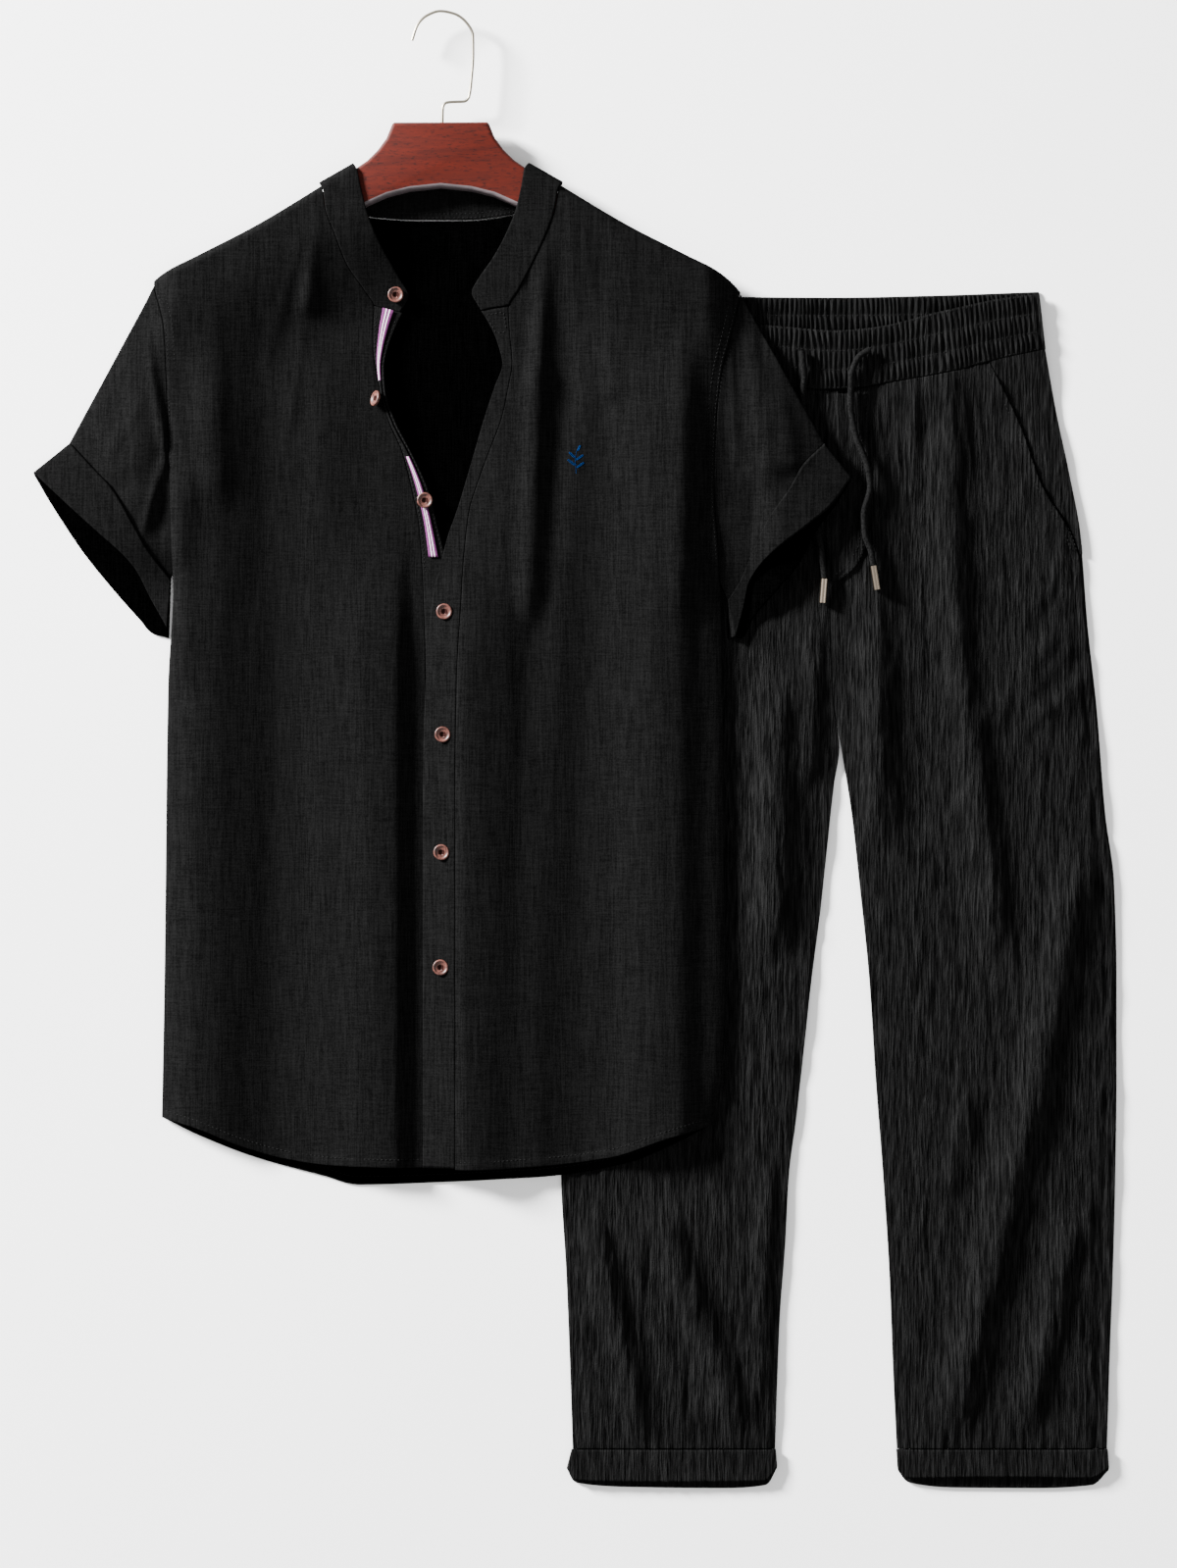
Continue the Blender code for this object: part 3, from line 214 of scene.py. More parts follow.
# Armholes: their span in y, and how much lower the right one sits. Then sleeves and cuffs, each listed
# from the outer fold to the underarm: (x, y)
ARMHOLE_Y = (369, 141)
ARMHOLE_DROP_RIGHT = 7
CUFF_SEAM_LEFT = ((-403, 243.5), (-384, 223), (-369, 207), (-352, 178), (-342, 160), (-323, 135))
CUFF_FRONT_LEFT = ((-431, 221), (-401, 193), (-380, 174), (-359, 155), (-349, 143), (-338, 121), (-325, 98))
CUFF_BACK_LEFT = ((-431, 219), (-418, 197), (-390, 155), (-363, 122), (-346, 103), (-337, 93), (-323.5, 89))
CUFF_SEAM_RIGHT = ((198, 242), (181, 225), (170, 206), (154, 183), (142, 158), (133, 136), (122, 118))
CUFF_FRONT_RIGHT = ((219, 216), (202, 193), (185, 179), (160, 160), (145, 145), (137, 131), (133, 112),
                    (127, 90))
CUFF_BACK_RIGHT = ((219, 214), (207, 195), (192, 175), (177, 147), (156, 122), (142, 106), (131, 88),
                   (121, 88))

# Collar band: its sewn and its free edge on the front, from the collar's end to the side neck: (x, y).
# BAND_FOLD holds the middles of its turn over the arm, as (reach, y), and BAND_FOLD_OUT the way it bulges.
BAND_SEWN_LEFT = ((-139.5, 348.5), (-149, 351), (-158.4, 353.5), (-167, 367), (-180, 386), (-190, 411),
                  (-197, 430))
BAND_FREE_LEFT = ((-131.5, 361), (-135, 368), (-139, 374), (-147, 388), (-155, 402), (-165, 427), (-170, 447))
BAND_SEWN_RIGHT = ((-75, 350), (-66, 352), (-56, 353.5), (-46.5, 367), (-37, 383), (-27, 403), (-18, 426))
BAND_FREE_RIGHT = ((-83.5, 364), (-79, 372), (-75, 378), (-66, 390), (-56, 407), (-47, 428), (-42.5, 447))
BAND_FOLD = ((93.2, 444.6), (66, 460))
BAND_FOLD_RADIUS = 6.0
BAND_FOLD_OUT = (0.54, 0.84)
NECK_SEAM_FOOT = 354
COLLAR_STATIONS = 60
COLLAR_TURNS = 15
BAND_BACK_SEWN = ((-186, 435.5), (-160, 424), (-123, 422), (-87, 422), (-46, 427), (-26, 436.5))
BAND_BACK_FREE = ((-160, 456), (-142, 452), (-120, 450.5), (-92, 450.5), (-70, 452), (-53, 456))

# How far the button stand's free edge stands up in the opening: (y, height)
STAND_LIFT = ((347, 1), (320, 3), (304, 5), (285, 6.5), (261, 6), (238, 4), (207, 2.2), (185, 0.8), (172, 0))

# Folds: from x, y; to x, y; half-width; height. FOLD_END is the share of its length over which one fades.
FOLD_END = 0.12
SHIRT_FOLDS = (
    (-312, 215, -314, 60, 9, 2.0), (-207, 425, -212, 350, 8, 3.0), (-290, 360, -285, 200, 14, 1.8),
    (-46, 428, -44, 372, 5, 2.0), (-23, 420, -30, 290, 7, 2.6), (-30, 300, -36, 110, 10, 3.2),
    (90, 330, 84, 120, 16, 2.5), (-352, 330, -340, 190, 18, 3.0), (-385, 290, -362, 215, 14, 2.0),
    (142, 330, 152, 215, 12, 3.0), (165, 280, 172, 222, 10, 2.0))
TROUSER_FOLDS = (
    (232, 290, 236, 150, 15, 2.2), (237, 150, 243, -60, 15, 3.6), (268, 290, 269, 205, 6, 1.6),
    (296, 300, 299, 120, 13, 3.6), (299, 130, 337, -160, 13, 3.4), (381, 92, 330, 22, 9, 1.1),
    (364, 30, 404, 40, 9, 0.6), (400, -95, 361, -295, 14, 3.8), (361, -285, 301, -530, 14, 3.8),
    (397, -375, 360, -530, 11, 2.6), (314, -270, 298, -350, 9, 1.6), (161, 50, 157, -150, 16, 4.0),
    (190, 105, 186, -20, 8, 2.0), (118, -160, 154, -194, 8, 0.8), (51, -330, 130, -535, 13, 3.6),
    (12, -370, 52, -535, 10, 2.8), (155, -340, 150, -520, 9, 2.0))

# Broad folds in which the shirt's body hangs below the chest: (x, height). They fade out over
# DRAPE_SIDES in y, and round the opening over DRAPE_MIDDLE.
SHIRT_DRAPE = ((-330, 2.6), (-312, 4.4), (-297, 5.2), (-288, 5.0), (-236, 0.5), (-224, 0.7), (-153, 5.6),
               (-143, 5.4), (-130, 1.6), (-121, 1.4), (-102, 3.6), (-86, 6.2), (-78, 6.1), (-20, 0.8),
               (8, 0.0), (16, 0.3), (70, 5.6), (80, 5.6), (103, 2.4), (112, 2.2), (130, 2.2))
DRAPE_SIDES = (250, 380)
DRAPE_MIDDLE = (60, 200)
DRAPE_MIDDLE_X = -130
DRAPE_MIDDLE_HALF = 75

# Buttons down the shirt: x, y, layer under it, tilt in degrees
BUTTONS = ((-142.7, 362, "collar", 0), (-157.5, 279, "stand", 60), (-119.5, 198.5, "tape", 0),
           (-104, 110, "placket", 0), (-105.2, 12.5, "placket", 0), (-106.2, -81, "placket", 0),
           (-106.9, -172.4, "placket", 0))

# A button from its middle over the rim, and under it: (reach, height). Its well is squeezed to an eye,
# and its shank holds it off the cloth. The tilted button is turned by TILTED_TURN degrees and sits on the
# turned stand.
BUTTON_TOP = ((0.0, 0.9), (0.9, 0.9), (1.5, 0.95), (1.9, 1.2), (2.2, 1.6), (2.7, 1.75), (3.4, 1.7),
              (4.1, 1.75), (4.5, 2.0), (4.8, 2.4), (5.1, 2.58), (5.5, 2.6), (5.9, 2.5), (6.15, 2.25))
BUTTON_UNDER = ((6.0, 0.5), (5.4, 0.05), (4.6, 0.0))
BUTTON_SIDES = 48
WELL_RADIUS = 2.4
WELL_FACE = 2.3
WELL_SQUEEZE = 0.62
BUTTON_SHANK = 0.45
TILTED_TURN = -14
TURNED_STAND = 6.4

# Drawcord ends as they lie, from where they leave the waistband to the metal tip: (x, y, z)
CORD_LEFT = ((180, 317, 10.2), (181, 306, 10.4), (182, 296, 9.6), (180.5, 283, 8.0), (181, 261, 7.2),
             (185, 222, 7.1), (191, 183, 7.8), (195, 160, 8.8), (198, 137, 9.2))
CORD_RIGHT = ((234, 318, 10.4), (225, 312, 10.6), (219, 296, 10.6), (218.6, 276, 10.2), (222.7, 249.6, 10.7),
              (232, 224.6, 11.6), (234, 209, 11.8), (229, 187, 11.6), (230, 171, 11.6), (235, 157, 11.3),
              (236.5, 147, 11.1))
TIP_END_LEFT = (196.5, 117.5, 8.4)
TIP_END_RIGHT = (239.5, 128.5, 11.3)

# Hook of wire, from its foot in the hanger to its free tip: (x, y)
HOOK_ROUTE = ((-105.5, 497.85), (-105.0, 510.0), (-102.5, 513.6), (-98.0, 514.2), (-88.0, 514.6),
              (-84.4, 518.0), (-82.4, 532.0), (-81.0, 553.0), (-81.2, 567.0), (-87.0, 578.0), (-96.0, 584.2),
              (-107.0, 586.3), (-118.0, 582.6), (-125.0, 575.5), (-129.5, 563.0))

# Where lines of stitches run: shares across a strip, or distances from an edge
PLACKET_STITCHES = (0.10, 0.86)
STAND_STITCHES = (0.1, 0.9)
COLLAR_STITCHES = (0.06, 0.17, 0.92)
BAND_STITCHES = (0.03, 0.35, 0.67, 0.97)
ARMHOLE_STITCHES = (1.6, 7.0)
POCKET_STITCHES = (1.8, 6.5)
FLY_STITCHES = (1.6, 5.2)

# How far stitches lie above the wall that they are sewn through, which its creases lift in places
ON_TOP = 0.1
ON_HEM = 0.2
ON_CREASES = 0.35
ON_CRINKLE = 0.4
ON_GATHERS = 0.45

# Spacing of the fine nets and of their first rows at a rounded edge, where EDGE_LEAST of the wall is left
NET_STEP = 3.0
TROUSER_STEP = 3.6
EDGE_STEPS = (0.0, 0.25, 0.6, 1.2)
EDGE_INSET = 2.4
EDGE_LEAST = 0.3
WRAP_STEPS = (0, 0.5, 1.1, 1.8, 2.6, 3.5, 4.5, 5.6, 6.8, 8.2, 10, 12, 14.5)

# Typical lengths and widths of the panels, by which their nets are spaced
SHIRT_LENGTH = 720.0
SHIRT_BACK_WIDTH = 466
SHIRT_FRONT_WIDTH = 215
LEG_FRONT_LENGTH = 840.0
LEG_BACK_LENGTH = 870
LEG_WIDTH = 170
POCKET_SIZE = (150, 44)
FLY_SIZE = (150, 33)
BAND_LENGTH = 334

# The doubled hem, the lap of a cuff over its sleeve, and how sleeves and cuffs swell between their folds
HEM_WIDTH = 6.5
HEM_RAISE = 0.4
CUFF_LAP = 1.2
TUBE_FULLNESS = 0.6
LEG_CUFF_LOFT = 1.8

# Corners of the shirt's panels: x at the shoulder's end, and x and y at the hem
SHOULDER_END_LEFT = -335
SHOULDER_END_RIGHT = 131
HEM_CORNER_LEFT = (-329, -292)
HEM_CORNER_RIGHT = (106, -299)

# Corners of the trousers' panels: x of the centre seam, the waist's ends and the pocket mouths' tops, then
# y of the cuff seams, the pocket facings' lower edge and the mouths' foot. LEG_EDGE rounds their edges.
CENTRE_X = 201
WAIST_END_LEFT = 37.5
WAIST_END_RIGHT = 374
MOUTH_TOP_LEFT = 79.0
MOUTH_TOP_RIGHT = 329.0
LEG_BOTTOM = -556.0
POCKET_LOW = 156.0
POCKET_FOOT = 120
LEG_EDGE = 1.2

# How much deeper the cloth's folds are than their tables say
FOLD_GAIN = 2.0
LEG_FOLD_GAIN = 2.1

# How far the strips beside the opening climb to the collar, and over which rows
STRIP_RISE_SEWN = 7.5
STRIP_RISE_FREE = 1.8
STRIP_RISE_PLACKET = 3.3
STRIP_RISE_ROWS = (318, 346)

# Small features: the side seam on the trousers' front, the pocket mouth's lip, the collar's round corner
SIDE_SEAM_INSET = 9.0
POCKET_LIP = 2.2
COLLAR_CORNER = 4.0

# The tape: fractions across it at which its stripes begin and end, the columns of the pale ones, the
# span in y where the turned stand hides them, its number of rows, its lift, and its half-width as a share
# of the stand's width
TAPE_COLUMNS = (0, 0.06, 0.30, 0.40, 0.60, 0.70, 0.94, 1)
STRIPE_COLUMNS = (2, 4)
TAPE_TURNED = (234, 294)
TAPE_ROWS = 116
TAPE_LIFT = 0.45
TAPE_HALF = 0.2

# Half of the hanger's outline: its lower edge from the middle, then round the end to its neck: (reach, y).
# The next value is the height of the strip along the lower edge whose rounded faces carry painted shade.
ARM_LOWER_EDGE = ((0, 446), (24, 443.5), (42, 439), (60, 431), (85, 420.5), (110, 408.5), (140, 394),
                  (170, 379.5), (198, 366))
ARM_OUTLINE = ARM_LOWER_EDGE + (
    (204, 365), (208, 369), (208, 374.5), (203, 380), (179, 392), (150, 407.5), (117, 425.5),
    (95, 439.5), (80, 450.5), (66, 462), (58, 467.5), (50, 475.5), (43, 485), (38.5, 496), (37, 497.5))
BEVEL_SHADE_STRIP = 4.6

# Leg cuffs: side, seam, front edge and back edge, each from left to right: (x, y)
LEG_CUFFS = (
    ("left", ((-3, -556.6), (159.5, -556.6)),
     ((-5.5, -572), (0, -581), (60, -582), (150, -581.5), (160.5, -569)),
     ((-7, -572), (0, -583), (40, -586.5), (120, -587.5), (152, -585), (160.5, -572))),
    ("right", ((255.5, -556.6), (423.5, -556.6)),
     ((256, -569), (264, -579), (340, -578), (410, -579), (424.5, -571)),
     ((257, -574), (265, -583), (300, -587), (370, -587.5), (412, -585), (424.5, -574))))

# Creases finer than the solids' folds: from x, y; to x, y; half-width; height
SHIRT_CREASES = (
    (-322, 300, -300, 180, 3.5, 0.8), (-316, 250, -322, -40, 4, 0.7), (-205, 420, -228, 250, 5, 1.0),
    (-214, 416, -248, 300, 4, 0.7), (-250, 120, -262, -200, 9, 0.6), (-170, 120, -164, -180, 8, 0.5),
    (-5, 424, 8, 260, 5, 1.0), (6, 418, 22, 300, 4, 0.7), (66, 300, 58, 60, 7, 0.6),
    (20, 60, 14, -240, 9, 0.6), (100, 250, 104, 60, 4, 0.7), (-60, 200, -48, -60, 6, 0.5))
SLEEVE_CREASES = (
    (-347, 350, -336, 300, 5, 3.4), (-336, 300, -325, 238, 5, 3.4), (-325, 232, -343, 172, 5, 2.8),
    (-392, 262, -352, 318, 7, 1.2), (-372, 230, -340, 285, 6, 1.0), (122, 342, 128, 230, 4, 1.4),
    (146, 330, 150, 250, 8, 1.4), (128, 240, 158, 196, 4, 1.2), (160, 290, 176, 240, 6, 1.0))
TROUSER_CREASES = (
    (240, 120, 238, -60, 6, 0.9), (300, 200, 312, -20, 7, 0.8), (352, 150, 372, -30, 6, 0.8),
    (380, -60, 386, -240, 6, 0.7), (300, -260, 352, -420, 5, 0.9), (40, -380, 84, -520, 5, 0.9),
    (384, 142, 356, 95, 5, 0.9), (396, 84, 354, 36, 5, 1.4), (402, 56, 356, 16, 5, 1.4))

# Fineness of a round tube, and the lattice of the noise
TUBE_SIDES = 6
LATTICE = 257
LATTICE_START = (311.7, 173.3)

# Faces of a stitch: its two ends, its two sides, its top and its underside
STITCH_FACES = ((0, 1, 4), (1, 2, 4), (2, 3, 4), (3, 0, 4), (1, 0, 5), (2, 1, 5), (3, 2, 5), (0, 3, 5))

# Buttonhole in the collar's right end, and the box of stitches below it: (x, y)
BUTTONHOLE = ((-77.0, 361.0), (-65.2, 367.2))
BUTTONHOLE_HALF = 0.7
STITCH_BOX = ((-71, 346), (-57, 348.5), (-55, 333), (-63, 331.5), (-71, 346))

# Stitched sprig on the chest: its middle, and its leaves as (foot x, foot y, tip x, tip y, half-width)
SPRIG_AT = (0.4, 230.0)
SPRIG_STEM = ((0.4, -10.5), (0.0, -5.0), (-0.5, 0.0), (0.2, 5.0), (1.2, 9.0))
SPRIG_LEAVES = ((0.2, -6, 6.8, -1.5, 1.7), (-0.2, -4, -6.6, 1.0, 1.7), (-0.4, 0, 6.2, 4.5, 1.6),
                (-0.3, 2, -5.4, 6.8, 1.5), (1.2, 7, 3.6, 12.0, 1.3))

# Lights: name, place, size in metres, power in watts
LIGHTS = (("key_window", (-4.5, 2.9, 1.8), 1.1, 4000.0), ("fill_right", (3.2, -0.8, 3.2), 3.0, 60.0),
          ("fill_low", (-0.2, -3.2, 3.0), 3.0, 50.0))

# Colour of the light from all round
SKY = "f2f2f2"

# Camera: straight down, so that one picture height spans the frame height at the cloth. Its sensor's
# height is in millimetres, and its place and the cloth's mean height are in metres.
CAMERA_SENSOR = 36.0
CAMERA_X = 0.0105
CAMERA_Y = -0.0269
CAMERA_MIDDLE_Z = 0.005


def linear(code):
    """An sRGB hex value as linear RGBA."""
    values = [int(code[i:i + 2], 16) / 255 for i in (0, 2, 4)]
    return tuple(c / 12.92 if c <= 0.04045 else ((c + 0.055) / 1.055) ** 2.4 for c in values) + (1.0,)


def colour(name, description, code):
    """A colour setting whose default is an sRGB hex value."""
    return bpy.props.FloatVectorProperty(name=name, description=description, default=linear(code), size=4,
                                         min=0.0, max=1.0, subtype="COLOR")


def measure(name, description, default_mm):
    """A length setting whose default is in millimetres."""
    return bpy.props.FloatProperty(name=name, description=description, default=default_mm * MM, min=0.0,
                                   precision=4, unit="LENGTH", subtype="DISTANCE")


class GARMENT_PG_colours(bpy.types.PropertyGroup):
    """Colours of the pieces, each the lightest tone of its material."""
    linen: colour("Shirt linen", "Thick threads of the shirt's linen", "0f0f0f")
    # Painted shade: a near-black copy of the linen for the back's inner side and the cuffs' inner walls,
    # where little light reaches
    inside: colour("Shirt inside", "Inner side of the shirt's back, which little light reaches", "020202")
    crinkle: colour("Trouser crinkle", "Ridges of the trousers' crinkled cotton", "141414")
    thread: colour("Sewing thread", "Stitches of both garments", "1d1d1d")
    tape: colour("Tape", "Ground of the tape inside the opening", "5c2f56")
    stripe: colour("Tape stripe", "Pale stripes of the tape", "c9c4c7")
    sprig: colour("Sprig", "Embroidery thread of the sprig on the chest", "082852")
    button: colour("Button", "Face of the shirt's buttons", "54322b")
    # Partly the thread sewn through the button, partly painted shade in the button's sunk middle
    well: colour("Button well", "Sunk middle of a button, and the thread in it", "241412")
    wood: colour("Hanger wood", "Stain of the hanger's arms", "3b0a02")
    # Painted shade on the bevel along the arms' lower edge
    edge: colour("Hanger edge", "Bare lower edge of the hanger's arms", "4b4144")
    steel: colour("Hook", "Wire of the hanger's hook", "8a8478")
    cord: colour("Drawcord", "Braid of the trousers' drawcord", "131313")
    tip: colour("Cord tip", "Plated tips of the drawcord", "96897a")
    paper: colour("Paper", "Background paper on which everything lies", "f4f4f4")


class GARMENT_PG_sizes(bpy.types.PropertyGroup):
    """Sizes of the small parts."""
    button_radius: measure("Button radius", "Radius of a shirt button's rim", 6.25)
    cord_diameter: measure("Cord diameter", "Thickness of the drawcord", 5.0)
    tip_diameter: measure("Tip diameter", "Thickness of a cord tip", 5.8)
    tip_length: measure("Tip length", "Length of a cord tip", 19.0)
    wire_diameter: measure("Wire diameter", "Thickness of the hook's wire", 2.4)
    stitch_length: measure("Stitch length", "Length of one visible stitch", 2.6)
    stitch_width: measure("Stitch width", "Width of one visible stitch", 0.6)
    waist_gathers: bpy.props.IntProperty(name="Waist gathers", default=80, min=10, max=200,
                                         description="Number of gathers across the waistband")


class GARMENT_PG_stage(bpy.types.PropertyGroup):
    """The floor, the lights and the camera."""
    floor_half: bpy.props.FloatProperty(name="Floor reach", default=6.0, min=1.0, unit="LENGTH",
                                        description="Half the side of the paper", subtype="DISTANCE")
    ambient: bpy.props.FloatProperty(name="Ambient light", default=0.82, min=0.0,
                                     description="Strength of the light from all round")
    lens: bpy.props.FloatProperty(name="Lens", description="Focal length of the camera in millimetres",
                                  default=85.0, min=10.0, unit="CAMERA")
    frame_height: bpy.props.FloatProperty(name="Frame height", default=1.2472, min=0.1, unit="LENGTH",
                                          description="Height of cloth that fills the picture",
                                          subtype="DISTANCE")


def smooth(start, end, value):
    """0 at start, 1 at end, and a soft step between."""
    t = np.clip((np.asarray(value, float) - start) / (end - start), 0.0, 1.0)
    return t * t * (3.0 - 2.0 * t)


def read(table, key):
    """The table's second column at a key, on a smooth curve through its rows."""
    rows = np.array(sorted(table), float)
    keys, values = rows[:, 0], rows[:, 1]
    slopes = np.diff(values) / np.diff(keys)
    same = slopes[:-1] * slopes[1:] > 0
    pair = np.where(same, slopes[:-1] + slopes[1:], 1.0)
    inner = np.where(same, 2 * slopes[:-1] * slopes[1:] / pair, 0)
    tangents = np.concatenate((slopes[:1], inner, slopes[-1:]))
    key = np.clip(np.asarray(key, float), keys[0], keys[-1])
    i = np.clip(np.searchsorted(keys, key) - 1, 0, len(keys) - 2)
    span = keys[i + 1] - keys[i]
    t = (key - keys[i]) / span
    rise = (1 + 2 * t) * (1 - t) ** 2 * values[i] + t * t * (3 - 2 * t) * values[i + 1]
    return rise + span * (t * (1 - t) ** 2 * tangents[i] - t * t * (1 - t) * tangents[i + 1])


def along(points, t):
    """Points of any dimension at fractions t of the way along a smooth curve through a short list."""
    points = np.array(points, float)
    steps = np.linalg.norm(np.diff(points, axis=0), axis=1)
    way = np.concatenate(([0.0], np.cumsum(steps))) / steps.sum()
    return np.stack([read(tuple(zip(way, column)), t) for column in points.T], axis=-1)


def down(table, y_start, y_end, shift=0.0):
    """An edge that runs down: fractions to points."""
    def edge(t):
        y = y_start + (y_end - y_start) * np.asarray(t, float)
        return np.stack([read(table, y) + shift, y], axis=-1)
    return edge


def across(table, x_start, x_end, shift=0.0):
    """An edge that runs across: fractions to points."""
    def edge(t):
        x = x_start + (x_end - x_start) * np.asarray(t, float)
        return np.stack([x, read(table, x) + shift], axis=-1)
    return edge


def patch(top, bottom, left, right, rows, columns):
    """A net of x and y between four edges, at the given fractions down and across."""
    u, v = np.asarray(columns)[None, :, None], np.asarray(rows)[:, None, None]
    t, b, l, r = top(columns)[None], bottom(columns)[None], left(rows)[:, None], right(rows)[:, None]
    corners = ((1 - u) * (1 - v) * l[:1] + u * (1 - v) * r[:1] + (1 - u) * v * l[-1:] + u * v * r[-1:])
    net = (1 - v) * t + v * b + (1 - u) * l + u * r - corners
    return net[..., 0], net[..., 1]


def fold_height(x, y, table):
    """Soft ridges, each along its own line."""
    total = np.zeros(np.broadcast(x, y).shape)
    for x1, y1, x2, y2, width, height in table:
        dx, dy = x2 - x1, y2 - y1
        length = math.hypot(dx, dy)
        t = ((x - x1) * dx + (y - y1) * dy) / length ** 2
        off = ((x - x1) * dy - (y - y1) * dx) / length
        ends = smooth(-FOLD_END, FOLD_END, t) * (1 - smooth(1 - FOLD_END, 1 + FOLD_END, t))
        total = total + height * ends * np.exp(-(off / width) ** 2)
    return total


def hanger_low(x):
    """Underside of the hanger."""
    return HANGER_Z_MIDDLE + HANGER_SLOPE * (x - HANGER_X)


def below_arm(x, y):
    """Distance below the lower edge of the hanger's arm."""
    reach = np.abs(x - HANGER_X)
    (s1, y1), (s2, y2) = ARM_LOW_INNER, ARM_LOW_OUTER
    length = math.hypot(s2 - s1, y2 - y1)
    return ((reach - s1) * (y2 - y1) - (y - y1) * (s2 - s1)) / length


def shoulder_wrap(x, y):
    """0 along the shoulder seam and 1 where the cloth has turned round the arm's edge."""
    under_seam = read(SHOULDER, np.abs(x - HANGER_X)) - y
    return np.sin(0.5 * math.pi * np.clip(under_seam / WRAP_DROP, 0.0, 1.0))


def near_hanger(x):
    """1 where the hanger's arm is under the cloth, and 0 past its end."""
    return 1 - smooth(*ARM_REACH, np.abs(x - HANGER_X))


def shirt_ground(x, y):
    """Height at which the shirt's back layer lies: the floor, the trousers, their waistband or a cord."""
    side = read(TROUSER_SIDE_LEFT, y)
    legs = ON_TROUSERS * smooth(*CLIMB_TROUSERS, x - side) * (1 - smooth(*TROUSERS_END_Y, y))
    band = ON_WAISTBAND * smooth(*CLIMB_BAND_X, x) * smooth(*CLIMB_BAND_Y, y) * (1 - smooth(*BAND_END_Y, y))
    cord = ON_CORD * smooth(*CLIMB_CORD_X, x)
    return np.maximum(np.maximum(legs, band), cord)


def shirt_back_low(x, y):
    """Underside of the shirt's back layer."""
    ground = shirt_ground(x, y)
    held = near_hanger(x) * (1 - smooth(0, BACK_TENT, below_arm(x, y)))
    lifted = np.maximum(ground, hanger_low(x) - SHIRT_WALL - SLACK_UNDER)
    return ground + (lifted - ground) * held + near_hanger(x) * WRAP_RISE * (1 - shoulder_wrap(x, y))


def shirt_drape(x, y):
    """The body's broad folds, which fade out towards the shoulders and, at the opening, lower down."""
    middle = np.exp(-(np.abs(x - DRAPE_MIDDLE_X) / DRAPE_MIDDLE_HALF) ** 4)
    fade_sides, fade_middle = 1 - smooth(*DRAPE_SIDES, y), 1 - smooth(*DRAPE_MIDDLE, y)
    return read(SHIRT_DRAPE, x) * (fade_sides + (fade_middle - fade_sides) * middle)


def shirt_loft(x, y):
    """How far the front layer stands off the back layer: nothing at the side seams, then soft folds."""
    inside = np.minimum(x - read(SHIRT_SIDE_LEFT, y), read(SHIRT_SIDE_RIGHT, y) - x)
    body = np.sqrt(1 - (1 - np.clip(inside / SIDE_ROUND, 0, 1)) ** 2)
    open_to_sleeve = smooth(*SLEEVE_OPEN_Y, y)
    over_step = STEP_LOFT * np.exp(-((x - read(TROUSER_SIDE_LEFT, y) + STEP_INSET) / STEP_WIDTH) ** 2)
    folds = FOLD_GAIN * (fold_height(x, y, SHIRT_FOLDS) + shirt_drape(x, y))
    return (body + (1 - body) * open_to_sleeve) * (LEAST_LOFT + over_step + folds)


def shirt_front_low(x, y, fullness=1.0, over_stand=0.0):
    """Underside of the shirt's front layer, which tents down from the hanger's arms."""
    on_band = smooth(*BRIDGE_X, x) * smooth(*BRIDGE_Y, y) * (1 - smooth(*BAND_END_Y, y))
    bridge = (ON_WAISTBAND - ON_TROUSERS) * on_band
    ground = np.maximum(shirt_ground(x, y), ON_TROUSERS * smooth(*FRONT_CLIMB_X, x) + bridge)
    lying = ground + SHIRT_WALL + LAYER_GAP + fullness * shirt_loft(x, y)
    tent = near_hanger(x) * (1 - smooth(0, FRONT_TENT, below_arm(x, y)))
    height = lying + (hanger_low(x) + HANGER_THICK + SLACK_OVER - lying) * tent
    step = (SHIRT_WALL + OVER_STAND) * (1 - smooth(*OVER_STAND_X, x)) * (1 - smooth(*OVER_STAND_Y, y))
    return height - near_hanger(x) * WRAP_RISE * (1 - shoulder_wrap(x, y)) + over_stand * step


def over_stand_low(x, y):
    """Underside of the buttonhole side and its placket, which lie over the button side's stand."""
    return shirt_front_low(x, y, over_stand=1.0)


def trouser_front_low(x, y):
    """Underside of the trousers' front layer: flat where the shirt hides it, folded where it shows."""
    past_hem = BELOW_HEM - y
    foot_x, foot_y = CUFF_SLANT_FOOT
    past_sleeve = np.minimum(x - PAST_SIDE, CUFF_SLANT_SQUARE * (CUFF_SLANT * (x - foot_x) + foot_y - y))
    shown = smooth(0, SHOWN_FADE, np.maximum(np.maximum(past_hem, past_sleeve), x - BEYOND_CUFF))
    inside = np.minimum(x - read(TROUSER_SIDE_LEFT, y), read(TROUSER_SIDE_RIGHT, y) - x)
    from_seams = np.maximum(read(CENTRE_TO_INNER_LEFT, y) - x, x - read(CENTRE_TO_INNER_RIGHT, y))
    leg_gap = np.where(y < 0, from_seams, FAR)
    rounded = smooth(0, LEG_ROUND, np.minimum(inside, leg_gap))
    beside_fly = BESIDE_FLY * smooth(*BESIDE_FLY_X, x) * (1 - smooth(*BESIDE_FLY_Y, y))
    gain = 1 + (LEG_FOLD_GAIN - 1) * np.maximum(1 - smooth(*DEEP_BELOW_Y, y), beside_fly)
    below_band = read(BAND_FRONT_LOW, x) - y
    lift = WAIST_LIFT * smooth(*WAIST_LIFT_X, x) * (1 - smooth(0, WAIST_LIFT_DROP, below_band))
    folds = LEG_LOFT + gain * fold_height(x, y, TROUSER_FOLDS)
    return TROUSER_WALL + LAYER_GAP + rounded * shown * folds + lift


def wall_top(low, wall, x, y):
    """Upper side of a wall whose true thickness is kept where it slopes."""
    step = 0.5
    slope_x = (low(x + step, y) - low(x - step, y)) / (2 * step)
    slope_y = (low(x, y + step) - low(x, y - step)) / (2 * step)
    return low(x, y) + wall * np.minimum(np.sqrt(1 + slope_x ** 2 + slope_y ** 2), STEEPEST_WALL)


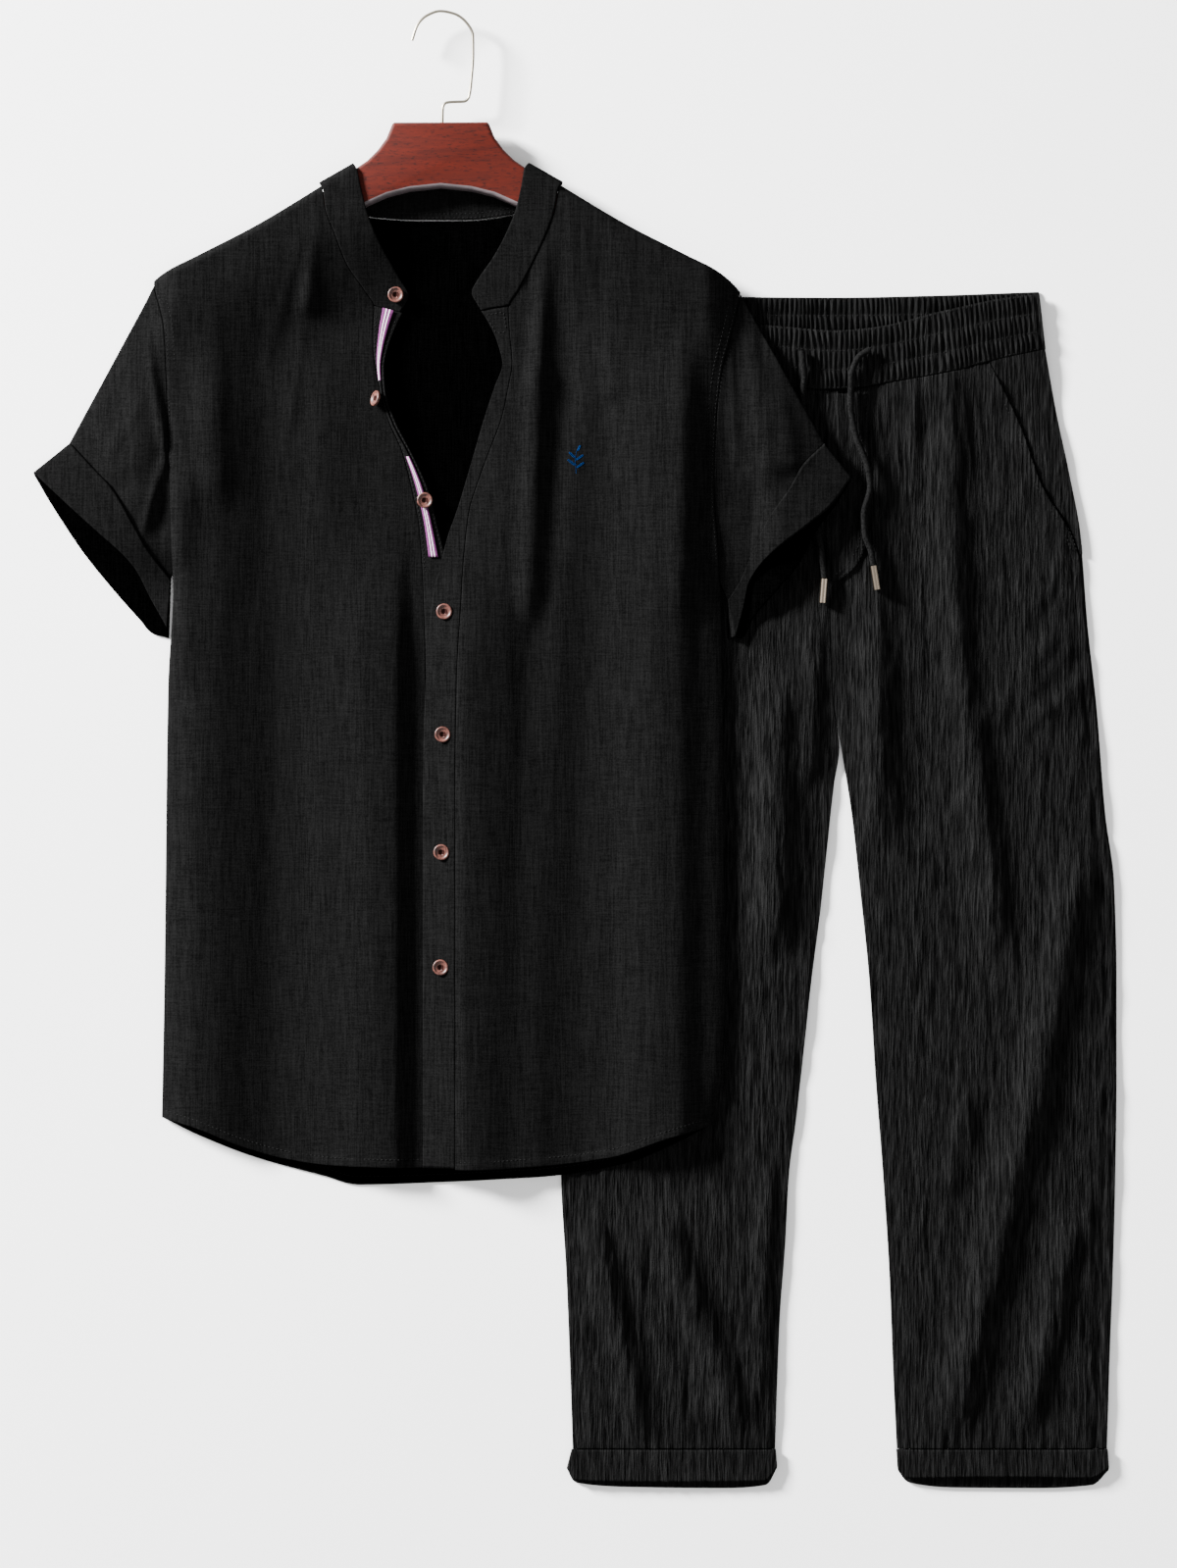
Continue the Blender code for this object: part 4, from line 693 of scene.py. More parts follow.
def noise(x, y, pitch_x, pitch_y, seed):
    """Smooth noise from -1 to 1 whose grains are pitch_x by pitch_y millimetres."""
    lattice = np.random.default_rng(seed).uniform(-1, 1, (LATTICE, LATTICE))
    gx, gy = np.asarray(x) / pitch_x + LATTICE_START[0], np.asarray(y) / pitch_y + LATTICE_START[1]
    ix, iy = np.floor(gx).astype(int), np.floor(gy).astype(int)
    tx, ty = smooth(0, 1, gx - ix), smooth(0, 1, gy - iy)
    (a, b), (c, d) = ([lattice[(ix + i) % LATTICE, (iy + j) % LATTICE] for i in (0, 1)] for j in (0, 1))
    return (a * (1 - tx) + b * tx) * (1 - ty) + (c * (1 - tx) + d * tx) * ty


def steps(length, spacing):
    """Fractions along a length, close together at both ends so that an edge can be rounded."""
    ends = np.array(EDGE_STEPS) / length
    count = max(int((length - 4) / spacing), 2)
    middle = np.linspace(EDGE_INSET / length, 1 - EDGE_INSET / length, count)
    return np.concatenate((ends, middle, 1 - ends[::-1]))


def edge_fullness(rows, columns, down_length, across_length, round_over=1.0):
    """1 over a panel and less within a millimetre of its edges, as a folded edge is rounded."""
    v = np.minimum(rows, 1 - rows) * down_length
    u = np.minimum(columns, 1 - columns) * across_length
    near = np.minimum(v[:, None], u[None, :])
    return EDGE_LEAST + (1 - EDGE_LEAST) * np.sqrt(1 - (1 - np.clip(near / round_over, 0, 1)) ** 2)


def finish_object(name, mesh, material, nodes, sharp=None):
    """Links a mesh, shades it smooth, rides it on the body and lets it stand for its nodes."""
    if not mesh.materials:
        mesh.materials.append(material)
    mesh.shade_smooth()
    if sharp:
        mesh.set_sharp_from_angle(angle=math.radians(sharp))
    piece = bpy.data.objects.new(name, mesh)
    bpy.context.scene.collection.objects.link(piece)
    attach(piece, BODY)
    if nodes:
        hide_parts(*nodes)
    return piece


def mesh_from(name, points, faces):
    """A mesh from points in millimetres, its faces turned outwards."""
    mesh = bpy.data.meshes.new(name)
    mesh.from_pydata((np.asarray(points, float) * MM).tolist(), [], faces)
    shape = bmesh.new()
    shape.from_mesh(mesh)
    bmesh.ops.recalc_face_normals(shape, faces=shape.faces)
    shape.to_mesh(mesh)
    shape.free()
    return mesh


def net_faces(rows, columns, start=0, closed=False):
    """Quads of a net of points, also across its last column where it is closed."""
    i, j = np.meshgrid(np.arange(rows - 1), np.arange(columns if closed else columns - 1), indexing="ij")
    a = start + i * columns + j
    b = start + i * columns + (j + 1) % columns
    return np.stack([a, b, b + columns, a + columns], axis=-1).reshape(-1, 4).tolist()


def rim(rows, columns):
    """Point numbers round the edge of a net, in order."""
    top = list(range(columns))
    right = [i * columns + columns - 1 for i in range(1, rows)]
    bottom = [(rows - 1) * columns + j for j in range(columns - 2, -1, -1)]
    left = [i * columns for i in range(rows - 2, 0, -1)]
    return top + right + bottom + left


def cloth_shell(x, y, under, over):
    """Points and faces of a closed shell between two height nets."""
    rows, columns = x.shape
    points = np.concatenate([np.stack([x, y, z], -1).reshape(-1, 3) for z in (under, over)])
    count = rows * columns
    edge = rim(rows, columns)
    faces = net_faces(rows, columns) + net_faces(rows, columns, count)
    faces += [(a, b, b + count, a + count) for a, b in zip(edge, edge[1:] + edge[:1])]
    return points, faces


def add_panel(name, net, low, wall, material, nodes, relief=None, full=None, raised_edge=0.0):
    """A cloth panel as a thin closed shell: a height field, its creases and its rounded edges."""
    x, y = net
    base = low(x, y)
    thick = wall_top(low, wall, x, y) - base
    crease = relief(x, y) if relief is not None else 0.0
    share = 1.0 if full is None else full
    middle = base + thick * 0.5 + crease
    half = thick * 0.5 * share
    points, faces = cloth_shell(x, y, middle - half, middle + half + raised_edge)
    return finish_object(name, mesh_from(name, points, faces), material, nodes)


def face_normals(sewn, free):
    """Directions square to a strip that runs towards -Y, on its upper side where free lies at +X."""
    run = np.gradient((sewn + free) / 2, axis=0)
    side = np.cross(run, free - sewn)
    return side / np.linalg.norm(side, axis=1)[:, None]


def add_ribbon(name, sewn, free, wall, material, nodes, shares=None):
    """A strip of cloth between two 3-D edges: its wall square to its face, its edges rounded."""
    count = len(sewn)
    side = face_normals(sewn, free)
    width = np.linalg.norm(free - sewn, axis=1)
    length = np.linalg.norm(np.diff((sewn + free) / 2, axis=0), axis=1).sum()
    u = steps(max(width.mean(), 6.0), 2.0) if shares is None else np.array(shares)
    v = np.linspace(0, 1, count)
    face = sewn[:, None] + (free - sewn)[:, None] * u[None, :, None]
    full = edge_fullness(v, u, length, width.mean())
    over = face + side[:, None] * (wall / 2 * full)[..., None]
    under = face + side[:, None] * (-wall / 2 * full)[..., None]
    ring = np.concatenate((over, under[:, ::-1]), axis=1)
    size = ring.shape[1]
    faces = net_faces(count, size, 0, closed=True)
    last = (count - 1) * size
    faces += [tuple(range(size)), tuple(range(last, last + size))]
    return finish_object(name, mesh_from(name, ring.reshape(-1, 3), faces), material, nodes)


def add_tube_of_cloth(name, start, front, back, wall, heights, material, nodes, columns=90, stations=60,
                      relief=None, lining=None):
    """A flattened tube, open at both ends: a front and a back layer joined along two round folds."""
    even = np.linspace(0, 1, columns)
    crowded = 0.5 - 0.5 * np.cos(np.pi * even)
    u = 0.5 * crowded + 0.5 * even
    head, tail_front, tail_back = along(start, u), along(front, u), along(back, u)
    outer, inner = [], []
    for share in np.linspace(0, 1, stations):
        over = head + (tail_front - head) * share
        under = head + (tail_back - head) * share
        span = over[-1] - over[0]
        span = span / np.linalg.norm(span)
        for ring, inset in ((outer, 0.0), (inner, wall)):
            pull = inset * np.where(u < 0.5, 1, -1) * np.abs(2 * u - 1) ** 6
            layers = []
            for layer, is_over in ((over, True), (under, False)):
                plan = layer + pull[:, None] * span
                z = heights(plan[:, 0], plan[:, 1], u, wall, is_over, inset > 0)
                if relief is not None and is_over:
                    z = z + relief(plan[:, 0], plan[:, 1], u, share)
                layers.append(np.column_stack((plan, z)))
            ring.append(np.concatenate((layers[0], layers[1][::-1])))
    size = 2 * columns
    points = np.concatenate((np.array(outer).reshape(-1, 3), np.array(inner).reshape(-1, 3)))
    count = stations * size
    faces = net_faces(stations, size, 0, closed=True) + net_faces(stations, size, count, closed=True)
    for first in (0, count - size):
        faces += [(first + j, first + (j + 1) % size, first + (j + 1) % size + count, first + j + count)
                  for j in range(size)]
    piece = finish_object(name, mesh_from(name, points, faces), material, nodes)
    # Inner walls can take a painted-shade material, which darkens the tube's inside where little light
    # reaches
    if lining:
        piece.data.materials.append(lining)
        walls = (stations - 1) * size
        for face in piece.data.polygons[walls:2 * walls]:
            face.material_index = 1
    return piece


def add_stitches(name, lines, material, length, width, space=0.8, rise=0.3):
    """Lines of stitches, each stitch a small lozenge of thread that lies along its line."""
    points, faces = [], []
    for line in lines:
        line = np.asarray(line, float)
        way = np.concatenate(([0.0], np.cumsum(np.linalg.norm(np.diff(line, axis=0), axis=1))))
        starts = np.arange(space / 2, way[-1] - length, length + space)
        head = np.column_stack([np.interp(starts, way, c) for c in line.T])
        tail = np.column_stack([np.interp(starts + length, way, c) for c in line.T])
        middle, side = (head + tail) / 2, np.cross(tail - head, (0, 0, 1.0))
        side *= width / 2 / np.linalg.norm(side, axis=1)[:, None]
        up = np.array((0, 0, rise))
        for stitch in np.stack([head, middle + side, tail, middle - side, middle + up, middle - up], axis=1):
            first = len(points)
            points += list(stitch)
            faces += [tuple(first + k for k in face) for face in STITCH_FACES]
    return finish_object(name, mesh_from(name, points, faces), material, ())


def on_cloth(points, low, wall, lift=ON_TOP):
    """Points in x and y set on the upper side of a panel."""
    points = np.array(points, float)
    return np.column_stack((points, wall_top(low, wall, points[:, 0], points[:, 1]) + lift))


def add_round_tube(name, route, diameter, spacing, material, nodes):
    """A round tube on a smooth curve through the route's points, and its length in metres."""
    route = np.array(route, float)
    length = np.linalg.norm(np.diff(route, axis=0), axis=1).sum()
    places = along(route, np.linspace(0, 1, max(int(length / spacing), 2) + 1)) * MM
    curve = bpy.data.curves.new(name, "CURVE")
    curve.dimensions = "3D"
    curve.bevel_depth = diameter / 2 * MM
    curve.bevel_resolution = TUBE_SIDES
    curve.use_fill_caps = True
    spline = curve.splines.new("POLY")
    spline.points.add(len(places) - 1)
    for point, place in zip(spline.points, places):
        point.co = (*place, 1.0)
    spline.use_smooth = True
    curve.materials.append(material)
    piece = bpy.data.objects.new(name, curve)
    bpy.context.scene.collection.objects.link(piece)
    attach(piece, BODY)
    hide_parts(*nodes)
    return piece, float(np.linalg.norm(np.diff(places, axis=0), axis=1).sum())


def add_node(tree, kind, settings=None, links=None):
    """Adds a node, sets its properties and its sockets, and links what feeds it."""
    node = tree.nodes.new(kind)
    for key, value in (settings or {}).items():
        if hasattr(node, str(key)):
            setattr(node, key, value)
        else:
            node.inputs[key].default_value = value
    for key, source in (links or {}).items():
        tree.links.new(source, node.inputs[key])
    return node


# Cloth scatters light and has no glare: even a faint one turns black cloth silver against the window
MATT = {"Specular IOR Level": 0.0}


def start_material(name, roughness, settings=None):
    """A new material with its node tree and its shader."""
    material = bpy.data.materials.new(name)
    material.use_nodes = True
    tree = material.node_tree
    shader = tree.nodes["Principled BSDF"]
    shader.inputs["Roughness"].default_value = roughness
    for key, value in (settings or {}).items():
        shader.inputs[key].default_value = value
    return material, tree, shader


def grain(tree, pitch_x, pitch_y, pitch_z, detail=2.0, distortion=0.0):
    """Noise whose grains have the given sizes in millimetres."""
    place = add_node(tree, "ShaderNodeTexCoord")
    scale = tuple(1000.0 / p for p in (pitch_x, pitch_y, pitch_z))
    mapped = add_node(tree, "ShaderNodeMapping", {"Scale": scale}, {"Vector": place.outputs["Object"]})
    return add_node(tree, "ShaderNodeTexNoise", {"Scale": 1.0, "Detail": detail, "Roughness": 0.6,
                                                 "Distortion": distortion}, {"Vector": mapped.outputs[0]})


def mixed(tree, first, second, share=0.5):
    """Weighted mean of two grey values."""
    return add_node(tree, "ShaderNodeMix", {"data_type": "FLOAT", 0: share}, {2: first, 3: second}).outputs[0]


def darker(colour, share):
    """A colour with only a share of its light."""
    return tuple(c * share for c in colour[:3]) + (1.0,)


def two_tone(tree, value, low, high, colour, shade):
    """A ramp over a span of a grey value, from the colour's shade up to the colour."""
    node = add_node(tree, "ShaderNodeValToRGB", None, {"Fac": value})
    dark, light = node.color_ramp.elements
    dark.position, light.position = low, high
    dark.color, light.color = darker(colour, shade), colour
    return node.outputs["Color"]


def tint(tree, shader, value, low, high, colour, shade):
    """Colours a material by a two-tone ramp over a grey value."""
    tree.links.new(two_tone(tree, value, low, high, colour, shade), shader.inputs["Base Color"])


def bump(tree, shader, height, depth_mm, strength=1.0):
    """Relief of a material: its grey value as a height of so many millimetres."""
    settings = {"Strength": strength, "Distance": depth_mm * MM}
    node = add_node(tree, "ShaderNodeBump", settings, {"Height": height})
    tree.links.new(node.outputs["Normal"], shader.inputs["Normal"])


def slub_linen(name, colour, shade):
    """Plain-woven linen with slubs: thick threads show as pale streaks along warp and weft.

    Threads are about 0.5 mm apart, too fine for the picture, so they are drawn at 1 mm.
    """
    material, tree, shader = start_material(name, 0.9, MATT)
    warp = grain(tree, 1.0, 26.0, 40.0, 3.0, 0.2)
    weft = grain(tree, 14.0, 1.0, 40.0, 3.0, 0.2)
    cross = mixed(tree, warp.outputs[0], weft.outputs[0], 0.38)
    speck = grain(tree, 1.3, 1.3, 1.3, 1.0)
    weave = mixed(tree, cross, speck.outputs[0], 0.28)
    tint(tree, shader, weave, 0.40, 0.62, colour, shade)
    bump(tree, shader, weave, 0.5, 0.55)
    return material


def crinkle_cotton(name, colour, shade):
    """Crinkled cotton gauze, twisted while wet: wavering ridges about 1.7 mm apart run down the cloth.

    The gauze's own threads are too fine for the picture and are drawn at 0.9 mm.
    """
    material, tree, shader = start_material(name, 0.9, MATT)
    ridges = grain(tree, 1.7, 24.0, 30.0, 2.0, 0.25)
    weave = grain(tree, 0.9, 0.9, 0.9, 1.0)
    both = mixed(tree, ridges.outputs[0], weave.outputs[0], 0.15)
    tint(tree, shader, both, 0.38, 0.66, colour, shade)
    bump(tree, shader, both, 4.0, 1.0)
    return material


def braided_cord(name, colour, shade):
    """Tubular braided cotton: small ribs about 1.2 mm apart break up its outline and its colour."""
    material, tree, shader = start_material(name, 0.9, MATT)
    ribs = grain(tree, 1.2, 1.2, 1.2, 2.0, 0.6).outputs[0]
    tint(tree, shader, ribs, 0.35, 0.65, colour, shade)
    bump(tree, shader, ribs, 0.4, 0.6)
    return material


def stained_wood(name, colour, shade):
    """Lacquered beech stained red-brown: dark flecks 1 mm by 5 mm along the grain, under a satin coat."""
    material, tree, shader = start_material(name, 0.6, {"Specular IOR Level": 0.1})
    figure = grain(tree, 60.0, 5.0, 8.0, 4.0, 1.2)
    flecks = grain(tree, 5.0, 1.0, 1.2, 2.0, 0.3)
    body = two_tone(tree, figure.outputs[0], 0.35, 0.7, colour, shade)
    fleck_mask = add_node(tree, "ShaderNodeValToRGB", None, {"Fac": flecks.outputs[0]})
    for element, position in zip(fleck_mask.color_ramp.elements, FLECK_SPAN):
        element.position = position
    flecked = add_node(tree, "ShaderNodeMix", {"data_type": "RGBA", 7: darker(colour, FLECK_SHADE)},
                       {0: fleck_mask.outputs[0], 6: body}).outputs[2]
    tree.links.new(flecked, shader.inputs["Base Color"])
    bump(tree, shader, flecks.outputs[0], 0.15, 0.25)
    return material


def bare_beech(name, colour, shade):
    """Painted shade on the bevel along the hanger's lower edge: grey with a plum cast, streaked along the
    grain.
    """
    material, tree, shader = start_material(name, 0.6)
    tint(tree, shader, grain(tree, 20.0, 3.0, 3.0, 3.0).outputs[0], 0.3, 0.7, colour, shade)
    return material


def drawn_metal(name, colour, roughness):
    """Drawn or plated metal: a soft shine that faint lengthwise scuffs break up."""
    material, tree, shader = start_material(name, roughness, {"Metallic": 1.0, "Base Color": colour})
    bump(tree, shader, grain(tree, 0.8, 6.0, 0.8, 2.0).outputs[0], 0.05, 0.3)
    return material


def moulded_button(name, colour, shade):
    """Moulded resin: a soft gloss over rose-brown mottles about 3 mm wide."""
    material, tree, shader = start_material(name, 0.4, {"Specular IOR Level": 0.3})
    cloud = grain(tree, 3.0, 3.0, 3.0, 3.0, 0.8).outputs[0]
    tint(tree, shader, cloud, 0.35, 0.65, colour, shade)
    bump(tree, shader, cloud, 0.1, 0.2)
    return material


def plain_thread(name, colour, shade):
    """Spun thread: matt, with its 0.5 mm twist as a faint change of tone."""
    material, tree, shader = start_material(name, 0.9, MATT)
    tint(tree, shader, grain(tree, 0.5, 0.5, 0.5, 1.0).outputs[0], 0.3, 0.7, colour, shade)
    return material


def matt_paper(name, colour, shade):
    """Studio background paper from a wide roll: even, with a hardly visible cloud 400 mm across."""
    material, tree, shader = start_material(name, 0.95, {"Specular IOR Level": 0.1})
    tint(tree, shader, grain(tree, 400.0, 400.0, 400.0, 1.0).outputs[0], 0.3, 0.7, colour, shade)
    return material


# The wood's flecks: grey values at which they begin and are full, and the share of the stain's colour
FLECK_SPAN = (0.56, 0.68)
FLECK_SHADE = 0.2

# For each kind: the material's name, what makes it, and the share of its colour that its darkest
# parts keep, or for a metal its roughness
LOOKS = {
    "linen": ("Black slub linen", slub_linen, 0.3),
    # Painted shade: the shirt's linen made near black for insides that little light reaches
    "inside": ("Black slub linen, inner side", slub_linen, 0.0),
    "crinkle": ("Black crinkle cotton gauze", crinkle_cotton, 0.25),
    "thread": ("Black sewing thread", plain_thread, 0.35),
    "tape": ("Plum grosgrain tape", plain_thread, 0.4),
    "stripe": ("White tape stripe", plain_thread, 0.68),
    "sprig": ("Blue embroidery thread", plain_thread, 0.4),
    "button": ("Rose-brown button resin", moulded_button, 0.2),
    # The button's sunk middle: the thread in it, and painted shade in the recess
    "well": ("Dark button well", plain_thread, 0.35),
    "wood": ("Red-brown stained beech", stained_wood, 0.6),
    # Painted shade on the bevel along the hanger's lower edge
    "edge": ("Unstained hanger edge", bare_beech, 0.35),
    "steel": ("Dull bronzed steel wire", drawn_metal, 0.35),
    "cord": ("Black braided cotton cord", braided_cord, 0.2),
    "tip": ("Pale gold plated brass", drawn_metal, 0.22),
    "paper": ("White background paper", matt_paper, 0.96),
}


def look(kind):
    """The material of one kind, made when it is first asked for."""
    name, make, setting = LOOKS[kind]
    known = bpy.data.materials.get(name)
    return known or make(name, tuple(getattr(bpy.context.scene.garment_colours, kind)), setting)


def shirt_rows(spacing):
    """Fractions down a shirt panel: close where it wraps the hanger's arm and at the hem."""
    body = np.arange(17.5, SHIRT_LENGTH - 9, spacing)
    hem = SHIRT_LENGTH - np.array((HEM_WIDTH + 0.6, HEM_WIDTH, 4.5, 2.5, *EDGE_STEPS[::-1]))
    return np.concatenate((WRAP_STEPS, body, hem)) / SHIRT_LENGTH


def hem_step(rows, columns):
    """Extra height of a doubled hem, in the last rows of a shirt panel."""
    from_end = (1 - rows) * SHIRT_LENGTH
    raised_by = HEM_RAISE * (1 - smooth(HEM_WIDTH - 0.8, HEM_WIDTH + 0.4, from_end))
    return np.repeat(raised_by[:, None], len(columns), 1)


def linen_creases(x, y):
    """Fine creases of the shirt, over the soft folds that the solids already have."""
    drift = 6 * noise(x, y, 60, 120, 3)
    hang = 0.35 * noise(x + drift, y, 16, 150, 5) + 0.15 * noise(x + drift, y, 7, 60, 7)
    return fold_height(x, y, SHIRT_CREASES) + hang * smooth(0, 25, read(SHOULDER, np.abs(x - HANGER_X)) - y)


def clear_of(edge_table, side, reach=10.0):
    """A share that is 0 at an edge and 1 away from it, so that creases don't push through its strip."""
    def share(x, y):
        return smooth(2.0, reach, side * (x - read(edge_table, y)))
    return share


def shoulder_edge(start, end):
    """An edge along the shoulders' slope between two x: fractions to points."""
    def edge(t):
        x = start + (end - start) * np.asarray(t, float)
        return np.stack([x, read(SHOULDER, np.abs(x - HANGER_X))], axis=-1)
    return edge


def make_shirt_back():
    """The back layer, which dips at the neck; its inner side is seen through the opening."""
    rows, columns = shirt_rows(5.0), steps(SHIRT_BACK_WIDTH, 4.5)
    shoulders = shoulder_edge(SHOULDER_END_LEFT, SHOULDER_END_RIGHT)

    def top(t):
        x, shoulder = np.moveaxis(shoulders(t), -1, 0)
        inside = (x > BACK_NECK[0][0]) & (x < BACK_NECK[-1][0])
        return np.stack([x, np.where(inside, read(BACK_NECK, x), shoulder)], axis=-1)

    net = patch(top, across(HEM_BACK, HEM_CORNER_LEFT[0], HEM_CORNER_RIGHT[0]),
                down(SHIRT_SIDE_LEFT, top(0)[1], HEM_CORNER_LEFT[1]),
                down(SHIRT_SIDE_RIGHT, top(1)[1], HEM_CORNER_RIGHT[1]), rows, columns)
    back = add_panel("shirt_back_cloth", net, shirt_back_low, SHIRT_WALL, look("linen"), ("shirt_back",),
                     full=edge_fullness(rows, columns, SHIRT_LENGTH, SHIRT_BACK_WIDTH),
                     raised_edge=hem_step(rows, columns))
    # All faces but the underside get painted shade, so that the back's inner side seen through the opening is
    # near black
    back.data.materials.append(look("inside"))
    for face in back.data.polygons:
        face.material_index = int(face.normal.z > -0.2)


def make_shirt_fronts():
    """The two front layers: the button side, then the buttonhole side, which lies over its stand."""
    rows, columns = shirt_rows(NET_STEP), steps(SHIRT_FRONT_WIDTH, NET_STEP)
    full = edge_fullness(rows, columns, SHIRT_LENGTH, SHIRT_FRONT_WIDTH)
    panels = (
        ("button_side", (SHOULDER_END_LEFT, HANGER_X - NECK_REACH), (HEM_LEFT, HEM_CORNER_LEFT[0], -119),
         (SHIRT_SIDE_LEFT, HEM_CORNER_LEFT[1]), (NECK_AND_STAND_SEAM, -332), -1, shirt_front_low),
        ("hole_side", (HANGER_X + NECK_REACH, SHOULDER_END_RIGHT), (HEM_RIGHT, -95, HEM_CORNER_RIGHT[0]),
         (NECK_AND_PLACKET_SEAM, -333), (SHIRT_SIDE_RIGHT, HEM_CORNER_RIGHT[1]), 1, over_stand_low))
    for side, shoulder, hem, left, right, inwards, low in panels:
        top = shoulder_edge(*shoulder)
        net = patch(top, across(*hem), down(left[0], top(0)[1], left[1]), down(right[0], top(1)[1], right[1]),
                    rows, columns)
        clear = clear_of(left[0] if inwards > 0 else right[0], inwards)
        front = add_panel("shirt_front_" + side + "_cloth", net, low, SHIRT_WALL, look("linen"),
                          ("shirt_front_" + side,), full=full, raised_edge=hem_step(rows, columns),
                          relief=lambda x, y: clear(x, y) * linen_creases(x, y))


def raised(points, low, lift):
    """Points in x and y set on a height field."""
    points = np.array(points, float)
    return np.column_stack((points, low(points[:, 0], points[:, 1]) + lift))


def slanted(y, rise):
    """Rows that climb towards the top of the opening, to meet the collar's lower edge."""
    return y + rise * smooth(*STRIP_RISE_ROWS, y)


def stand_edges(y):
    """Middle of the button stand's wall along its sewn and its free edge."""
    lift = read(STAND_LIFT, y)
    high = slanted(y, STRIP_RISE_SEWN)
    sewn = np.column_stack((read(NECK_AND_STAND_SEAM, high) + SEAM_GAP + 0.08 * lift, high))
    free = np.column_stack((read(STAND_FREE, y), slanted(y, STRIP_RISE_FREE)))
    return (raised(sewn, shirt_front_low, SHIRT_WALL / 2 + 0.1 * lift),
            raised(free, shirt_front_low, SHIRT_WALL / 2 + lift))


def placket_edges(y):
    """Middle of the placket's wall along its sewn and its free edge."""
    high, end = slanted(y, STRIP_RISE_SEWN), slanted(y, STRIP_RISE_PLACKET)
    sewn = np.column_stack((read(NECK_AND_PLACKET_SEAM, high) - 2 * SEAM_GAP, high))
    free = np.column_stack((read(PLACKET_FREE, y), end))
    return raised(sewn, over_stand_low, SHIRT_WALL / 2), raised(free, over_stand_low, SHIRT_WALL / 2 + 0.2)


def paint_stripes(tape, columns, white, plain):
    """Gives the tape's stripes their own thread, and plain cloth where the turned stand hides it."""
    tape.data.materials.append(white)
    tape.data.materials.append(plain)
    size = 2 * columns
    for face in tape.data.polygons:
        if face.index % size in STRIPE_COLUMNS and face.index < size * (len(tape.data.vertices) // size - 1):
            face.material_index = 1
        if TAPE_TURNED[0] < face.center.y / MM < TAPE_TURNED[1]:
            face.material_index = 2


def make_front_strips():
    """Button stand, placket, and the tape on the part of the stand that shows in the opening."""
    y_open = np.linspace(346, 130, 130)
    y = np.concatenate((y_open, np.linspace(128, -332, 180)))
    stand = add_ribbon("shirt_button_stand_cloth", *stand_edges(y), SHIRT_WALL, look("linen"),
                       ("shirt_button_stand",))
    placket = add_ribbon("shirt_placket_cloth", *placket_edges(y), SHIRT_WALL, look("linen"),
                         ("shirt_placket",))
    sewn, free = stand_edges(y_open[:TAPE_ROWS])
    off = face_normals(sewn, free) * (SHIRT_WALL / 2 + LAYER_GAP + TAPE_WALL / 2 + TAPE_LIFT)
    middle, half = 0.5 * (sewn + free), TAPE_HALF * (free - sewn)
    tape = add_ribbon("shirt_stand_tape_cloth", middle - half + off, middle + half + off, TAPE_WALL,
                      look("tape"), ("shirt_stand_tape",), shares=TAPE_COLUMNS)
    paint_stripes(tape, len(TAPE_COLUMNS), look("stripe"), look("linen"))


def collar_edges():
    """Middle of the collar's wall along its sewn and its free edge, from one front end to the other.

    Each half runs up the front, turns over the hanger's arm at the side neck and goes on to the back.
    """
    sewn, free = [], []
    lift = COLLAR_WALL / 2
    turn = np.radians(np.linspace(90, -90, COLLAR_TURNS))
    share = np.concatenate((np.linspace(0, 0.04, 9), np.linspace(0.055, 1, COLLAR_STATIONS - 9)))
    for side, neck, front_sewn, front_free in ((-1, NECK_AND_STAND_SEAM, BAND_SEWN_LEFT, BAND_FREE_LEFT),
                                               (1, NECK_AND_PLACKET_SEAM, BAND_SEWN_RIGHT, BAND_FREE_RIGHT)):
        plan = along(front_sewn, share)
        seam = read(neck, plan[:, 1]) - side * 1.5 * SEAM_GAP
        plan[:, 0] = np.where(plan[:, 1] > NECK_SEAM_FOOT, seam, plan[:, 0])
        flat_sewn = raised(plan, shirt_front_low, lift)
        outer = along(front_free, share)
        from_end = np.clip(COLLAR_CORNER - np.linalg.norm(outer - outer[0], axis=1), 0, COLLAR_CORNER)
        inset = COLLAR_CORNER - np.sqrt(COLLAR_CORNER ** 2 - from_end ** 2)
        inwards = (plan - outer) / np.linalg.norm(plan - outer, axis=1)[:, None]
        flat_free = raised(outer + inwards * inset[:, None], shirt_front_low, lift)
        wrap = []
        for centre in BAND_FOLD:
            plan = np.array(centre) + BAND_FOLD_RADIUS * np.cos(turn)[:, None] * np.array(BAND_FOLD_OUT)
            x = HANGER_X + side * plan[:, 0]
            z = hanger_low(x) + HANGER_THICK / 2 + (HANGER_THICK / 2 + lift + SLACK_OVER) * np.sin(turn)
            wrap.append(np.column_stack((x, plan[:, 1], z)))
        sewn.append(np.concatenate((flat_sewn, wrap[0]))[::-side])
        free.append(np.concatenate((flat_free, wrap[1]))[::-side])
    back = along(BAND_BACK_SEWN, np.linspace(0, 1, COLLAR_STATIONS))
    back_sewn = raised(back, shirt_back_low, LAYER_GAP)
    back = along(BAND_BACK_FREE, np.linspace(0, 1, COLLAR_STATIONS))
    back_free = np.column_stack((back, hanger_low(back[:, 0]) - lift - SLACK_OVER))
    return (np.concatenate((sewn[0], back_sewn, sewn[1])), np.concatenate((free[0], back_free, free[1])))


def make_collar():
    """The band collar as one strip round the neck."""
    collar = add_ribbon("shirt_collar_band_cloth", *collar_edges(), COLLAR_WALL, look("linen"),
                        ("shirt_collar_band",))


def sleeve_heights(x, y, u, wall, over, inner):
    """Heights round a sleeve or its cuff: the layers come together at the two folds."""
    fullness = np.sin(math.pi * np.clip(u, 0, 1)) ** TUBE_FULLNESS
    extra = wall - SHIRT_WALL
    bottom = shirt_back_low(x, y)
    top = shirt_front_low(x, y, fullness) + 2 * extra + SHIRT_WALL
    if over:
        return top - wall if inner else top
    return bottom + wall if inner else bottom


